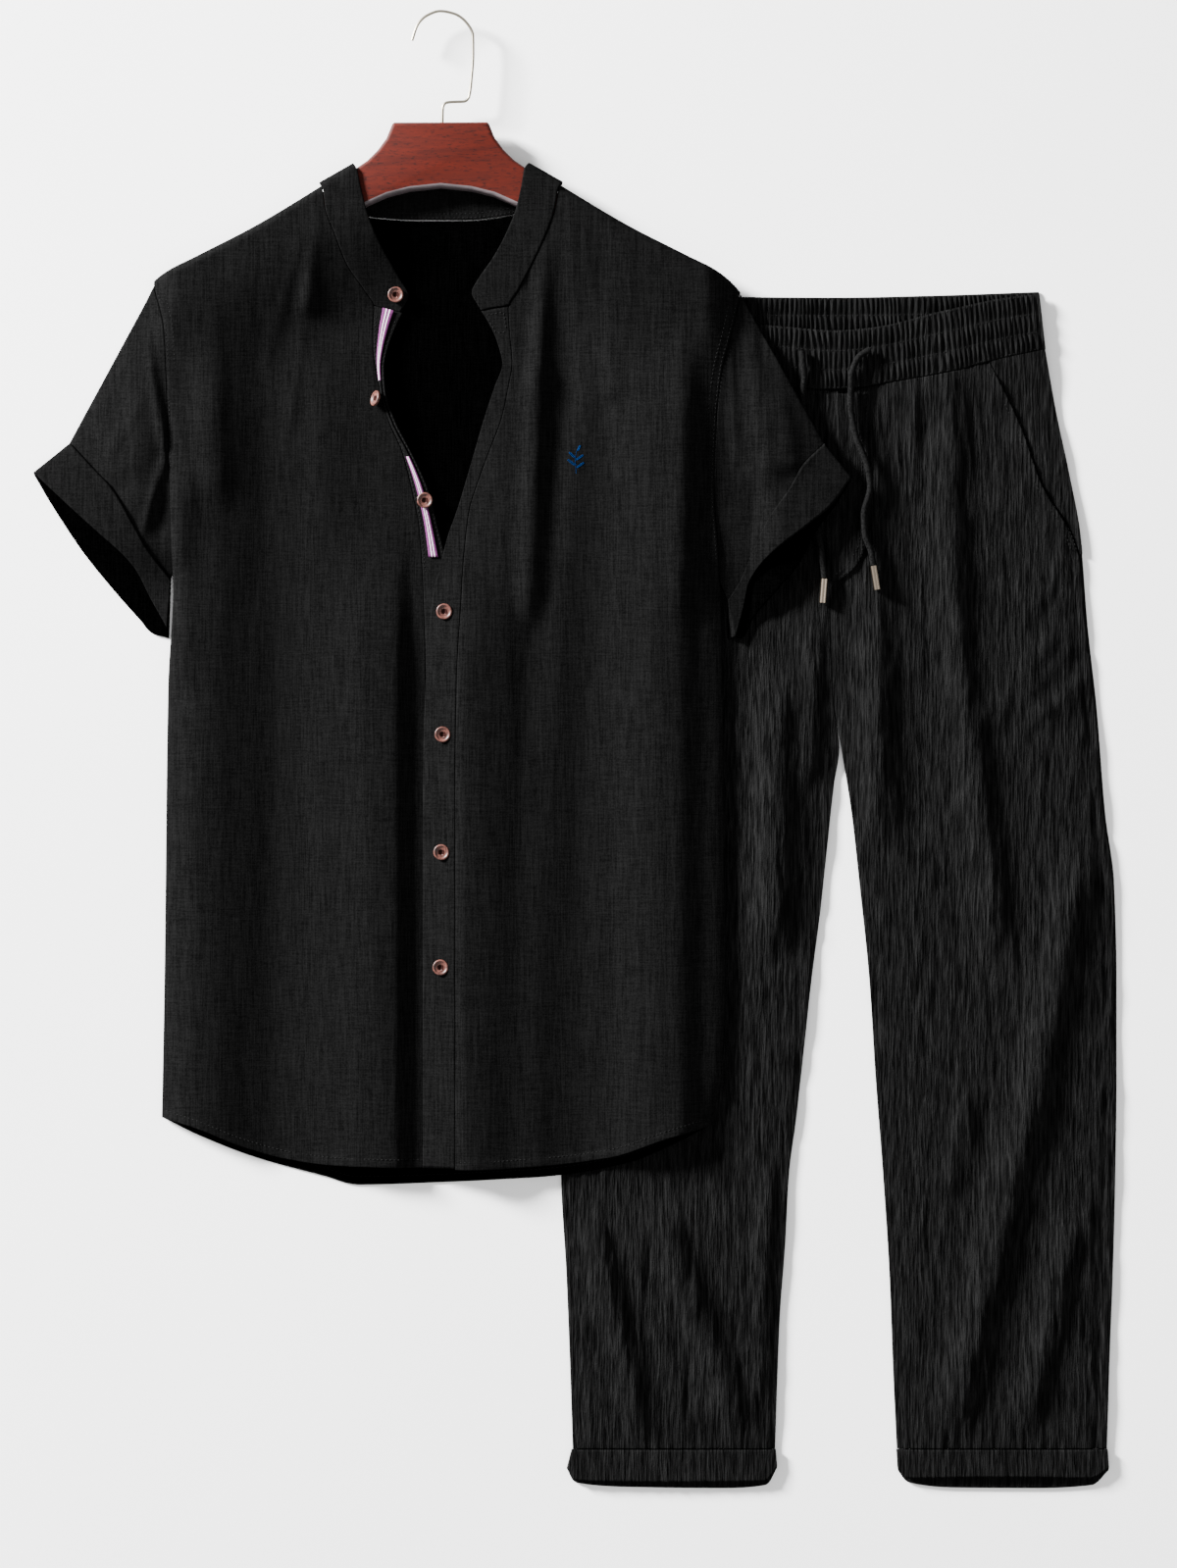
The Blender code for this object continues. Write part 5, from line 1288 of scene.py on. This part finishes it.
def make_sleeves():
    """Both sleeves, from the armhole to the cuff seam, and their cuffs, which lap over them."""
    left_rows = np.linspace(*ARMHOLE_Y, 60)
    right_rows = left_rows - ARMHOLE_DROP_RIGHT
    armhole_left = np.column_stack((read(SHIRT_SIDE_LEFT, left_rows) - 2 * SEAM_GAP, left_rows))
    armhole_right = np.column_stack((read(SHIRT_SIDE_RIGHT, right_rows) + 2 * SEAM_GAP, right_rows))
    sides = (("left", armhole_left, CUFF_SEAM_LEFT, CUFF_FRONT_LEFT, CUFF_BACK_LEFT),
             ("right", armhole_right, CUFF_SEAM_RIGHT, CUFF_FRONT_RIGHT, CUFF_BACK_RIGHT))
    for side, armhole, seam, front, back in sides:
        sleeve = add_tube_of_cloth("shirt_sleeve_" + side + "_cloth", armhole, seam, seam, SHIRT_WALL,
                                   sleeve_heights, look("linen"), ("shirt_sleeve_" + side,),
                                   relief=sleeve_creases)
        way = np.array(front, float)[0] - np.array(seam, float)[0]
        away = way / np.linalg.norm(way)
        start = np.array(seam, float) - CUFF_LAP * away
        # The cuffs' inner walls carry painted shade: the near-black copy of the linen
        cuff = add_tube_of_cloth("shirt_cuff_" + side + "_cloth", start, front, back, CUFF_WALL,
                                 sleeve_heights, look("linen"), ("shirt_cuff_" + side,), stations=20,
                                 lining=look("inside"))


def sleeve_creases(x, y, u, share):
    """Creases on a sleeve's upper layer, gone at its folds and its seams."""
    ends = np.sin(math.pi * np.clip(u, 0, 1)) * smooth(0, 0.08, share) * (1 - smooth(0.94, 1, share))
    return ends * (fold_height(x, y, SLEEVE_CREASES) + 0.3 * noise(x, y, 18, 18, 11))


def add_button(name, place, tilt, radius):
    """A button with a raised rim, a dished face and an eye-shaped well for its thread."""
    profile = BUTTON_TOP + ((radius, 1.8), (radius, 1.0)) + BUTTON_UNDER
    sides = BUTTON_SIDES
    points = [(0, 0, profile[0][1])]
    angle = 2 * math.pi * np.arange(sides) / sides
    for reach, z in profile[1:]:
        flat = WELL_SQUEEZE if reach < WELL_RADIUS else 1.0
        points += list(zip(reach * np.cos(angle) * flat, reach * np.sin(angle), np.full(sides, z)))
    rings = len(profile) - 1
    faces = [(0, 1 + k, 1 + (k + 1) % sides) for k in range(sides)]
    faces += net_faces(rings, sides, 1, closed=True)
    points.append((0, 0, 0))
    last = 1 + (rings - 1) * sides
    faces += [(last + k, len(points) - 1, last + (k + 1) % sides) for k in range(sides)]
    mesh = mesh_from(name, points, faces)
    mesh.materials.append(look("button"))
    mesh.materials.append(look("well"))
    # Faces in the sunk middle get the well material: the thread's colour, and painted shade in the recess
    for face in mesh.polygons:
        in_well = face.center.xy.length < WELL_FACE * MM
        face.material_index = int(face.center.z > 0.5 * MM and in_well)
    turn = Euler((0, -math.radians(tilt), math.radians(TILTED_TURN if tilt else 0)))
    mesh.transform(Matrix.LocRotScale(Vector(place) * MM, turn, None))
    return finish_object(name + "_face", mesh, look("button"), (name,))


def make_buttons(sizes):
    """The seven buttons, each a thread's width above the layer that it is sewn to."""
    for number, (x, row, layer, tilt) in enumerate(BUTTONS, start=1):
        if layer == "collar":
            z = shirt_front_low(x, row) + COLLAR_WALL + 0.8
        elif layer == "placket":
            z = over_stand_low(x, row) + SHIRT_WALL + 0.2
        elif layer == "tape":
            z = shirt_front_low(x, row) + SHIRT_WALL + TAPE_WALL + LAYER_GAP + 1.6
        else:
            z = shirt_front_low(x, row) + TURNED_STAND
        button = add_button("shirt_button_" + str(number), (x, row, float(z) + BUTTON_SHANK), tilt,
                            sizes.button_radius / MM)


def make_hanger(sizes):
    """The arms, cut from one board with rounded edges, and the hook of bent wire."""
    half = np.array(ARM_OUTLINE, float)
    outline = np.concatenate((half, (half * (-1, 1))[:0:-1]))
    mesh = bpy.data.meshes.new("hanger_arms_wood")
    shape = bmesh.new()
    face = shape.faces.new([shape.verts.new((s * MM, y * MM, 0)) for s, y in outline])
    result = bmesh.ops.extrude_face_region(shape, geom=[face])
    lifted = [g for g in result["geom"] if isinstance(g, bmesh.types.BMVert)]
    bmesh.ops.translate(shape, verts=lifted, vec=(0, 0, HANGER_THICK * MM))
    edges = [e for e in shape.edges if e.calc_face_angle(0) > math.radians(60)]
    bmesh.ops.bevel(shape, geom=edges, offset=HANGER_EDGE * MM, segments=5, profile=0.5, affect="EDGES")
    bmesh.ops.recalc_face_normals(shape, faces=shape.faces)
    shape.to_mesh(mesh)
    shape.free()
    mesh.transform(Matrix.LocRotScale(Vector((HANGER_X, 0, HANGER_Z_MIDDLE)) * MM,
                                      Euler((0, -math.atan(HANGER_SLOPE), 0)), None))
    mesh.materials.append(look("wood"))
    # The rounded faces along the lower edge get painted shade: the grey-plum material where that bevel would
    # lie in shadow
    mesh.materials.append(look("edge"))
    for face in mesh.polygons:
        low = read(ARM_LOWER_EDGE, abs(face.center.x / MM - HANGER_X))
        face.material_index = int(face.center.y / MM < low + BEVEL_SHADE_STRIP and abs(face.normal.z) < 0.995)
    arms = finish_object("hanger_arms_wood", mesh, look("wood"), ("hanger_arms",), sharp=30)
    middle = hanger_low(HANGER_X) + HANGER_THICK / 2
    route = [(x, y, middle) for x, y in HOOK_ROUTE]
    hook, _ = add_round_tube("hanger_hook_wire", route, sizes.wire_diameter / MM, 1.5, look("steel"),
                             ("hanger_hook",))


def crinkle(x, y):
    """Relief of crinkled gauze: wandering narrow ridges down the leg, over slower ones."""
    bend = 2.2 * noise(x, y, 26, 34, 21) + 0.8 * noise(x, y, 9, 14, 22)
    narrow = noise(x + bend, y, 2.4, 30, 23)
    broad = noise(x + bend, y, 5.2, 45, 24)
    return 0.72 * narrow + 0.42 * broad


def trouser_creases(x, y):
    """The leg's creases, its crinkle and the groove of the side seam, which lies on the front."""
    seam = np.exp(-((read(TROUSER_SIDE_RIGHT, y) - SIDE_SEAM_INSET - x) / 1.6) ** 2)
    beside_mouth = np.clip(read(POCKET_MOUTH_RIGHT, y) - x, 0, FAR)
    lip = POCKET_LIP * np.exp(-(beside_mouth / 6) ** 2) * smooth(150, 185, y) * (1 - smooth(285, 305, y))
    return fold_height(x, y, TROUSER_CREASES) + crinkle(x, y) - 0.9 * seam + lip


def trouser_rows():
    """Fractions down a trouser front, close together at both ends."""
    ends, length = np.array(EDGE_STEPS), LEG_FRONT_LENGTH
    return np.concatenate((ends, np.arange(3.0, length - 2.6, TROUSER_STEP), length - ends[::-1])) / length


def shifted(edge, shift):
    """An edge that runs down, moved sideways."""
    return tuple((y, x + shift) for y, x in edge)


def level(ends, y):
    """A straight edge at one height down the leg."""
    def edge(t):
        return np.stack([ends[0] + (ends[1] - ends[0]) * np.asarray(t, float), np.full(np.shape(t), y)], -1)
    return edge


def leg_net(waist, tables, x_ends, low, rows, columns, shifts=(0.0, 0.0)):
    """Net of a trouser panel between the waist seam, a left and a right edge, and a level line."""
    y_left, y_right = (float(read(waist, x)) - SEAM_GAP for x in x_ends)
    ends = [float(read(table, low)) + shift for table, shift in zip(tables, shifts)]
    return patch(across(waist, *x_ends, -SEAM_GAP), level(ends, low),
                 down(tables[0], y_left, low, shifts[0]), down(tables[1], y_right, low, shifts[1]),
                 rows, columns)


def flat_floor(x, y):
    """Underside of what lies on the floor."""
    return np.zeros(np.broadcast(x, y).shape)


def make_trouser_legs():
    """Front and back of each leg. A front's outer edge is the slanted pocket mouth, then the side seam."""
    legs = (("left", 1, TROUSER_SIDE_LEFT, POCKET_MOUTH_LEFT, CENTRE_TO_INNER_LEFT, MOUTH_TOP_LEFT,
             WAIST_END_LEFT),
            ("right", -1, TROUSER_SIDE_RIGHT, POCKET_MOUTH_RIGHT, CENTRE_TO_INNER_RIGHT, MOUTH_TOP_RIGHT,
             WAIST_END_RIGHT))
    rows, columns = trouser_rows(), steps(LEG_WIDTH, 1.5)
    back_rows, back_columns = np.linspace(0, 1, 210), steps(LEG_WIDTH, 4.0)
    for side, order, seam, mouth, centre, mouth_top, waist_end in legs:
        inwards = order * SEAM_GAP / 2
        below_pocket = tuple((y, x) for y, x in seam if y < POCKET_FOOT)
        edges = (shifted(mouth[1:], inwards) + below_pocket, shifted(centre, -inwards))[::order]
        net = leg_net(BAND_FRONT_LOW, edges, (mouth_top, CENTRE_X - inwards)[::order], LEG_BOTTOM, rows,
                      columns)
        front = add_panel("trouser_front_" + side + "_cloth", net, trouser_front_low, TROUSER_WALL,
                          look("crinkle"), ("trouser_front_" + side,), relief=trouser_creases,
                          full=edge_fullness(rows, columns, LEG_FRONT_LENGTH, LEG_WIDTH, LEG_EDGE))

        net = leg_net(BAND_BACK_LOW, (seam, centre)[::order], (waist_end, CENTRE_X - inwards)[::order],
                      LEG_BOTTOM, back_rows, back_columns, (0.0, -inwards)[::order])
        back = add_panel("trouser_back_" + side + "_cloth", net, flat_floor, TROUSER_WALL, look("crinkle"),
                         ("trouser_back_" + side,),
                         full=edge_fullness(back_rows, back_columns, LEG_BACK_LENGTH, LEG_WIDTH, LEG_EDGE))


def make_pockets():
    """The facing of each pocket, between its slanted mouth and the side seam."""
    rows, columns = steps(POCKET_SIZE[0], 2.5), steps(POCKET_SIZE[1], 1.5)
    for side, order, mouth, seam, x_mouth, x_side in (
            ("left", 1, POCKET_MOUTH_LEFT, TROUSER_SIDE_LEFT, 78.4, 38),
            ("right", -1, POCKET_MOUTH_RIGHT, TROUSER_SIDE_RIGHT, 329.6, 373.5)):
        net = leg_net(BAND_FRONT_LOW, (seam, mouth)[::order], (x_side, x_mouth)[::order], POCKET_LOW, rows,
                      columns, (0.0, -order * SEAM_GAP)[::order])
        facing = add_panel("trouser_pocket_" + side + "_cloth", net, trouser_front_low, TROUSER_WALL,
                           look("crinkle"), ("trouser_pocket_" + side,), relief=pocket_creases)


def pocket_creases(x, y):
    """A facing's crinkle, flatter than the leg's and a little sunk."""
    return 0.6 * crinkle(x, y) - 0.15


def fly_low(x, y):
    """Underside of the fly, on top of the trousers' front."""
    return wall_top(trouser_front_low, TROUSER_WALL, x, y) + FLY_GAP


def make_fly():
    """The fly, straight along the centre seam and curved in at its foot."""
    (y_top, y_low), x_left = FLY_ROWS, FLY_LEFT
    rows, columns = steps(FLY_SIZE[0], 2.5), steps(FLY_SIZE[1], 1.5)
    y = y_top + (y_low - y_top) * rows
    x = x_left + (read(FLY_RIGHT, y)[:, None] - x_left) * columns[None, :]
    net = (x, np.repeat(y[:, None], len(columns), axis=1))
    fly = add_panel("trouser_fly_cloth", net, fly_low, SHIRT_WALL, look("crinkle"), ("trouser_fly",),
                    relief=crinkle, full=edge_fullness(rows, columns, *FLY_SIZE, 0.8))


def waistband_low(side, x):
    """Underside of a waistband: the back one lies on the floor, the front one on the back one."""
    if side == "back":
        return np.zeros(np.shape(x))
    return BAND_WALL + BAND_GAP + BAND_RISE * np.exp(-((x - BAND_RISE_X) / BAND_RISE_WIDTH) ** 2)


def gathers(u, v, waves, seed):
    """Height of the gathers in a waistband: uneven narrow ridges, pinched along each line of stitches."""
    x, y = u * 330, v * 40
    puff = np.abs(np.sin(math.pi * (v * BAND_TIERS))) ** 0.7
    sway = 0.8 * noise(x, y, 21, 60, seed) + 0.2 * noise(x, y, 9, 16, seed + 2)
    ridge = (0.5 + 0.5 * np.sin(2 * math.pi * (waves * u + sway))) ** 0.8
    uneven = 0.75 + 0.35 * noise(x, y, 11, 12, seed + 1)
    return GATHER_HEIGHT * puff * ridge * uneven + GATHER_AT_STITCHES * ridge


def make_waistband(sizes):
    """The waistband's front and back, let out on elastic in three tiers."""
    for side, top, low, seed, reach in (("front", BAND_FRONT_TOP, BAND_FRONT_LOW, 31, 46),
                                        ("back", BAND_BACK_TOP, BAND_BACK_LOW, 37, 44)):
        rows, columns = steps(reach, 1.5), steps(BAND_LENGTH, 0.62)
        head, tail = along(top, columns), along(low, columns)
        net = head[None] * (1 - rows)[:, None, None] + tail[None] * rows[:, None, None]
        u, v = columns[None, :], rows[:, None]
        under = waistband_low(side, net[..., 0])
        ripple = gathers(u, v, sizes.waist_gathers, seed)
        full = edge_fullness(rows, columns, reach, BAND_LENGTH, LEG_EDGE)
        points, faces = cloth_shell(net[..., 0], net[..., 1], under + (1 - full) * BAND_WALL / 2,
                                    under + BAND_WALL / 2 + full * (BAND_WALL / 2 + ripple))
        name = "trouser_waistband_" + side
        band = finish_object(name + "_cloth", mesh_from(name, points, faces), look("crinkle"), (name,))


def leg_cuff_heights(x, y, u, wall, over, inner):
    """Heights round a leg's cuff, which lies on the floor."""
    fullness = np.sin(math.pi * np.clip(u, 0, 1)) ** TUBE_FULLNESS
    top = 2 * wall + LAYER_GAP + LEG_CUFF_LOFT * fullness
    if over:
        return top - wall if inner else top
    return np.full(x.shape, wall if inner else 0.0)


def make_leg_cuffs():
    """The turned-up cuff of each leg."""
    for side, start, front, back in LEG_CUFFS:
        cuff = add_tube_of_cloth("trouser_cuff_" + side + "_cloth", start, front, back, CUFF_WALL,
                                 leg_cuff_heights, look("crinkle"), ("trouser_cuff_" + side,), columns=110,
                                 stations=16, relief=cuff_creases)


def cuff_creases(x, y, u, share):
    """The crinkle of a turned-up cuff, gone at its folds."""
    return np.sin(math.pi * np.clip(u, 0, 1)) ** 0.5 * 0.8 * crinkle(x, y * 3)


def make_drawcords(sizes):
    """The two free ends of the drawcord, each with its metal tip."""
    tip_length = sizes.tip_length / MM
    for side, route, end in (("left", CORD_LEFT, TIP_END_LEFT), ("right", CORD_RIGHT, TIP_END_RIGHT)):
        cord, length = add_round_tube("drawcord_" + side + "_braid", route, sizes.cord_diameter / MM, 2.5,
                                      look("cord"), ("drawcord_" + side,))
        start = np.array(route[-1], float)
        way = np.array(end, float) - start
        way /= np.linalg.norm(way)
        first = start + way * 3 * LAYER_GAP
        tip, _ = add_round_tube("drawcord_tip_" + side + "_sleeve",
                                (first, first + way * tip_length / 2, first + way * tip_length),
                                sizes.tip_diameter / MM, tip_length / 6, look("tip"),
                                ("drawcord_tip_" + side,))


def edge_line(table, y_start, y_end, inset, low, wall, count=160):
    """Stitches beside an edge that runs down, a fixed distance to its side."""
    y = np.linspace(y_start, y_end, count)
    return on_cloth(np.column_stack((read(table, y) + inset, y)), low, wall)


def hem_line(table, x_start, x_end, inset, low, wall, count=120):
    """Stitches above an edge that runs across."""
    x = np.linspace(x_start, x_end, count)
    return on_cloth(np.column_stack((x, read(table, x) + inset)), low, wall, ON_HEM)


def between(sewn, free, share, lift):
    """A line along a strip, a share of the way from its sewn to its free edge, on its upper face."""
    return sewn + (free - sewn) * share + face_normals(sewn, free) * lift


def make_shirt_stitching(sizes):
    """Stitches on strips, collar, armholes and hems, the buttonhole and the box below it."""
    placket = placket_edges(np.linspace(348, -326, 300))
    stand = stand_edges(np.linspace(340, 140, 120))
    collar = collar_edges()
    lines = [between(*placket, share, SHIRT_WALL / 2 + ON_TOP) for share in PLACKET_STITCHES]
    lines += [between(*stand, share, SHIRT_WALL / 2 + ON_TOP) for share in STAND_STITCHES]
    lines += [between(*collar, share, COLLAR_WALL / 2 + ON_TOP) for share in COLLAR_STITCHES]
    for table, sign, low in ((SHIRT_SIDE_LEFT, 1, shirt_front_low), (SHIRT_SIDE_RIGHT, -1, over_stand_low)):
        lines += [edge_line(table, 362, 150, sign * inset, low, SHIRT_WALL) for inset in ARMHOLE_STITCHES]
    lines += [hem_line(HEM_LEFT, -326, -122, HEM_WIDTH, shirt_front_low, SHIRT_WALL),
              hem_line(HEM_RIGHT, -92, 102, HEM_WIDTH, over_stand_low, SHIRT_WALL),
              hem_line(HEM_BACK, -326, 103, HEM_WIDTH, shirt_back_low, SHIRT_WALL)]
    first, last = np.array(BUTTONHOLE)
    beside = np.array((first[1] - last[1], last[0] - first[0])) / np.linalg.norm(last - first)
    beside *= BUTTONHOLE_HALF
    for side in (-1, 1):
        hole = np.linspace(first + side * beside, last + side * beside, 12)
        lines.append(on_cloth(hole, shirt_front_low, COLLAR_WALL))
    for corner, following in zip(STITCH_BOX, STITCH_BOX[1:]):
        lines.append(on_cloth(np.linspace(corner, following, 12), over_stand_low, SHIRT_WALL, ON_CREASES))
    stitches = add_stitches("shirt_stitching", lines, look("thread"), sizes.stitch_length / MM,
                            sizes.stitch_width / MM)


def make_trouser_stitching(sizes):
    """Stitches beside the pocket mouths and the fly, and the waistband's lines between its tiers."""
    lines = []
    for table, sign in ((POCKET_MOUTH_LEFT, 1), (POCKET_MOUTH_RIGHT, -1)):
        lines += [edge_line(table, 300, POCKET_LOW, sign * inset, trouser_front_low, TROUSER_WALL)
                  + (0, 0, ON_CRINKLE) for inset in POCKET_STITCHES]
    y = np.linspace(282, 136, 80)
    for inset in FLY_STITCHES:
        plan = np.column_stack((read(FLY_RIGHT, y) - inset, y + 0.6 * inset))
        lines.append(on_cloth(plan, fly_low, SHIRT_WALL, ON_CRINKLE))
    for side, top, low in (("front", BAND_FRONT_TOP, BAND_FRONT_LOW), ("back", BAND_BACK_TOP, BAND_BACK_LOW)):
        u = np.linspace(0.01, 0.99, 400)
        for share in BAND_STITCHES:
            plan = along(top, u) * (1 - share) + along(low, u) * share
            lines.append(np.column_stack((plan, waistband_low(side, plan[:, 0]) + BAND_WALL + ON_GATHERS)))
    stitches = add_stitches("trouser_stitching", lines, look("thread"), sizes.stitch_length / MM,
                            sizes.stitch_width / MM)


def make_sprig(sizes):
    """A stitched sprig on the chest: a stem in split stitches and five leaves in slanted satin stitches."""
    middle = np.array(SPRIG_AT)
    stem = along(SPRIG_STEM, np.linspace(0, 1, 20)) + middle
    lines = [on_cloth(stem, over_stand_low, SHIRT_WALL, ON_CREASES)]
    for x1, y1, x2, y2, half in SPRIG_LEAVES:
        foot, tip = np.array((x1, y1)), np.array((x2, y2))
        way = (tip - foot) / np.linalg.norm(tip - foot)
        side = np.array((-way[1], way[0]))
        for share in np.linspace(0.08, 0.95, 12):
            reach = half * math.sin(math.pi * share) ** 0.7
            centre = foot + (tip - foot) * share
            for turn in (-1, 1):
                ends = (centre, centre + side * turn * reach + way * 0.9)
                lines.append(on_cloth(np.array(ends) + middle, over_stand_low, SHIRT_WALL, ON_CREASES))
    sprig = add_stitches("shirt_sprig", lines, look("sprig"), 1.0, sizes.stitch_width / MM, space=0.12,
                         rise=0.35)


def make_stage(stage):
    """Paper under everything, soft lights and the camera that looks straight down."""
    half, level = stage.floor_half, CAD_BOX[0][2]
    floor = bpy.data.meshes.new("floor")
    corners = [(x * half, y * half, level) for x, y in ((-1, -1), (1, -1), (1, 1), (-1, 1))]
    floor.from_pydata(corners, [], [(0, 1, 2, 3)])
    floor.materials.append(look("paper"))
    ground = bpy.data.objects.new("floor", floor)
    bpy.context.scene.collection.objects.link(ground)
    for name, place, size, power in LIGHTS:
        lamp = bpy.data.lights.new(name, "AREA")
        lamp.energy, lamp.size = power, size
        holder = bpy.data.objects.new(name, lamp)
        holder.location = place
        holder.rotation_euler = (Vector((0, 0, 0)) - Vector(place)).to_track_quat("-Z", "Y").to_euler()
        bpy.context.scene.collection.objects.link(holder)
    world = bpy.data.worlds.new("Studio")
    bpy.context.scene.world = world
    world.use_nodes = True
    sky = world.node_tree.nodes["Background"].inputs
    sky["Color"].default_value = linear(SKY)
    sky["Strength"].default_value = stage.ambient
    camera_data = bpy.data.cameras.new("Camera")
    camera_data.lens = stage.lens
    camera_data.sensor_fit = "VERTICAL"
    camera_data.sensor_height = CAMERA_SENSOR
    camera = bpy.data.objects.new("Camera", camera_data)
    distance = stage.frame_height * stage.lens / CAMERA_SENSOR
    camera.location = (CAMERA_X, CAMERA_Y, CAMERA_MIDDLE_Z + distance)
    bpy.context.scene.collection.objects.link(camera)
    bpy.context.scene.camera = camera


class GARMENT_OT_shirt_back(bpy.types.Operator):
    """Back layer of the shirt, which hangs from the hanger's arms"""
    bl_idname = "garment.shirt_back"
    bl_label = "Shirt back"

    def execute(self, context):
        make_shirt_back()
        return {"FINISHED"}


class GARMENT_OT_shirt_fronts(bpy.types.Operator):
    """The two front layers of the shirt with their folds and doubled hems"""
    bl_idname = "garment.shirt_fronts"
    bl_label = "Shirt fronts"

    def execute(self, context):
        make_shirt_fronts()
        return {"FINISHED"}


class GARMENT_OT_front_strips(bpy.types.Operator):
    """Button stand, placket and the striped tape inside the opening"""
    bl_idname = "garment.front_strips"
    bl_label = "Front strips"

    def execute(self, context):
        make_front_strips()
        return {"FINISHED"}


class GARMENT_OT_collar(bpy.types.Operator):
    """Band collar, from one front end round the neck to the other"""
    bl_idname = "garment.collar"
    bl_label = "Collar"

    def execute(self, context):
        make_collar()
        return {"FINISHED"}


class GARMENT_OT_sleeves(bpy.types.Operator):
    """Both short sleeves and their turned-up cuffs"""
    bl_idname = "garment.sleeves"
    bl_label = "Sleeves"

    def execute(self, context):
        make_sleeves()
        return {"FINISHED"}


class GARMENT_OT_buttons(bpy.types.Operator):
    """The seven buttons down the shirt"""
    bl_idname = "garment.buttons"
    bl_label = "Buttons"

    def execute(self, context):
        make_buttons(context.scene.garment_sizes)
        return {"FINISHED"}


class GARMENT_OT_hanger(bpy.types.Operator):
    """Wooden arms and wire hook"""
    bl_idname = "garment.hanger"
    bl_label = "Hanger"

    def execute(self, context):
        make_hanger(context.scene.garment_sizes)
        return {"FINISHED"}


class GARMENT_OT_trouser_legs(bpy.types.Operator):
    """Fronts and backs of the trouser legs"""
    bl_idname = "garment.trouser_legs"
    bl_label = "Trouser legs"

    def execute(self, context):
        make_trouser_legs()
        return {"FINISHED"}


class GARMENT_OT_pockets(bpy.types.Operator):
    """Facings of the two slanted pockets"""
    bl_idname = "garment.pockets"
    bl_label = "Pockets"

    def execute(self, context):
        make_pockets()
        return {"FINISHED"}


class GARMENT_OT_fly(bpy.types.Operator):
    """Stitched-down fly over the centre seam"""
    bl_idname = "garment.fly"
    bl_label = "Fly"

    def execute(self, context):
        make_fly()
        return {"FINISHED"}


class GARMENT_OT_waistband(bpy.types.Operator):
    """Gathered waistband in three tiers, front and back"""
    bl_idname = "garment.waistband"
    bl_label = "Waistband"

    def execute(self, context):
        make_waistband(context.scene.garment_sizes)
        return {"FINISHED"}


class GARMENT_OT_leg_cuffs(bpy.types.Operator):
    """Turned-up cuffs of the trouser legs"""
    bl_idname = "garment.leg_cuffs"
    bl_label = "Leg cuffs"

    def execute(self, context):
        make_leg_cuffs()
        return {"FINISHED"}


class GARMENT_OT_drawcords(bpy.types.Operator):
    """Free ends of the drawcord and their tips"""
    bl_idname = "garment.drawcords"
    bl_label = "Drawcords"

    def execute(self, context):
        make_drawcords(context.scene.garment_sizes)
        return {"FINISHED"}


class GARMENT_OT_shirt_stitching(bpy.types.Operator):
    """Lines of stitches on the shirt's edges and hems"""
    bl_idname = "garment.shirt_stitching"
    bl_label = "Shirt stitching"

    def execute(self, context):
        make_shirt_stitching(context.scene.garment_sizes)
        return {"FINISHED"}


class GARMENT_OT_trouser_stitching(bpy.types.Operator):
    """Lines of stitches on pockets, fly and waistband"""
    bl_idname = "garment.trouser_stitching"
    bl_label = "Trouser stitching"

    def execute(self, context):
        make_trouser_stitching(context.scene.garment_sizes)
        return {"FINISHED"}


class GARMENT_OT_sprig(bpy.types.Operator):
    """Small sprig stitched on the chest"""
    bl_idname = "garment.sprig"
    bl_label = "Sprig"

    def execute(self, context):
        make_sprig(context.scene.garment_sizes)
        return {"FINISHED"}


class GARMENT_OT_stage(bpy.types.Operator):
    """Floor, lights and camera"""
    bl_idname = "garment.stage"
    bl_label = "Stage"

    def execute(self, context):
        make_stage(context.scene.garment_stage)
        return {"FINISHED"}


# Every group of pieces, in the order in which main makes them
STEPS = (GARMENT_OT_shirt_back, GARMENT_OT_shirt_fronts, GARMENT_OT_front_strips, GARMENT_OT_collar,
         GARMENT_OT_sleeves, GARMENT_OT_buttons, GARMENT_OT_hanger, GARMENT_OT_trouser_legs,
         GARMENT_OT_pockets, GARMENT_OT_fly, GARMENT_OT_waistband, GARMENT_OT_leg_cuffs,
         GARMENT_OT_drawcords, GARMENT_OT_shirt_stitching, GARMENT_OT_trouser_stitching,
         GARMENT_OT_sprig, GARMENT_OT_stage)
SETTINGS = (("garment_colours", GARMENT_PG_colours), ("garment_sizes", GARMENT_PG_sizes),
            ("garment_stage", GARMENT_PG_stage))


class GARMENT_PT_pieces(bpy.types.Panel):
    """Buttons for every group of pieces, and the settings"""
    bl_idname = "GARMENT_PT_pieces"
    bl_label = "Shirt and trousers set"
    bl_space_type = "VIEW_3D"
    bl_region_type = "UI"
    bl_category = "Garments"

    def draw(self, context):
        column = self.layout.column()
        for step in STEPS:
            column.operator(step.bl_idname)
        for name, group in SETTINGS:
            column.separator()
            for key in group.__annotations__:
                column.prop(getattr(context.scene, name), key)


def register():
    for name, group in SETTINGS:
        bpy.utils.register_class(group)
        setattr(bpy.types.Scene, name, bpy.props.PointerProperty(type=group))
    for shown in (*STEPS, GARMENT_PT_pieces):
        bpy.utils.register_class(shown)


def unregister():
    for shown in (GARMENT_PT_pieces, *reversed(STEPS)):
        bpy.utils.unregister_class(shown)
    for name, group in reversed(SETTINGS):
        delattr(bpy.types.Scene, name)
        bpy.utils.unregister_class(group)


def main():
    """Makes every group of pieces in order."""
    register()
    for step in STEPS:
        getattr(bpy.ops.garment, step.bl_idname.removeprefix("garment."))()


if __name__ == "__main__":
    main()
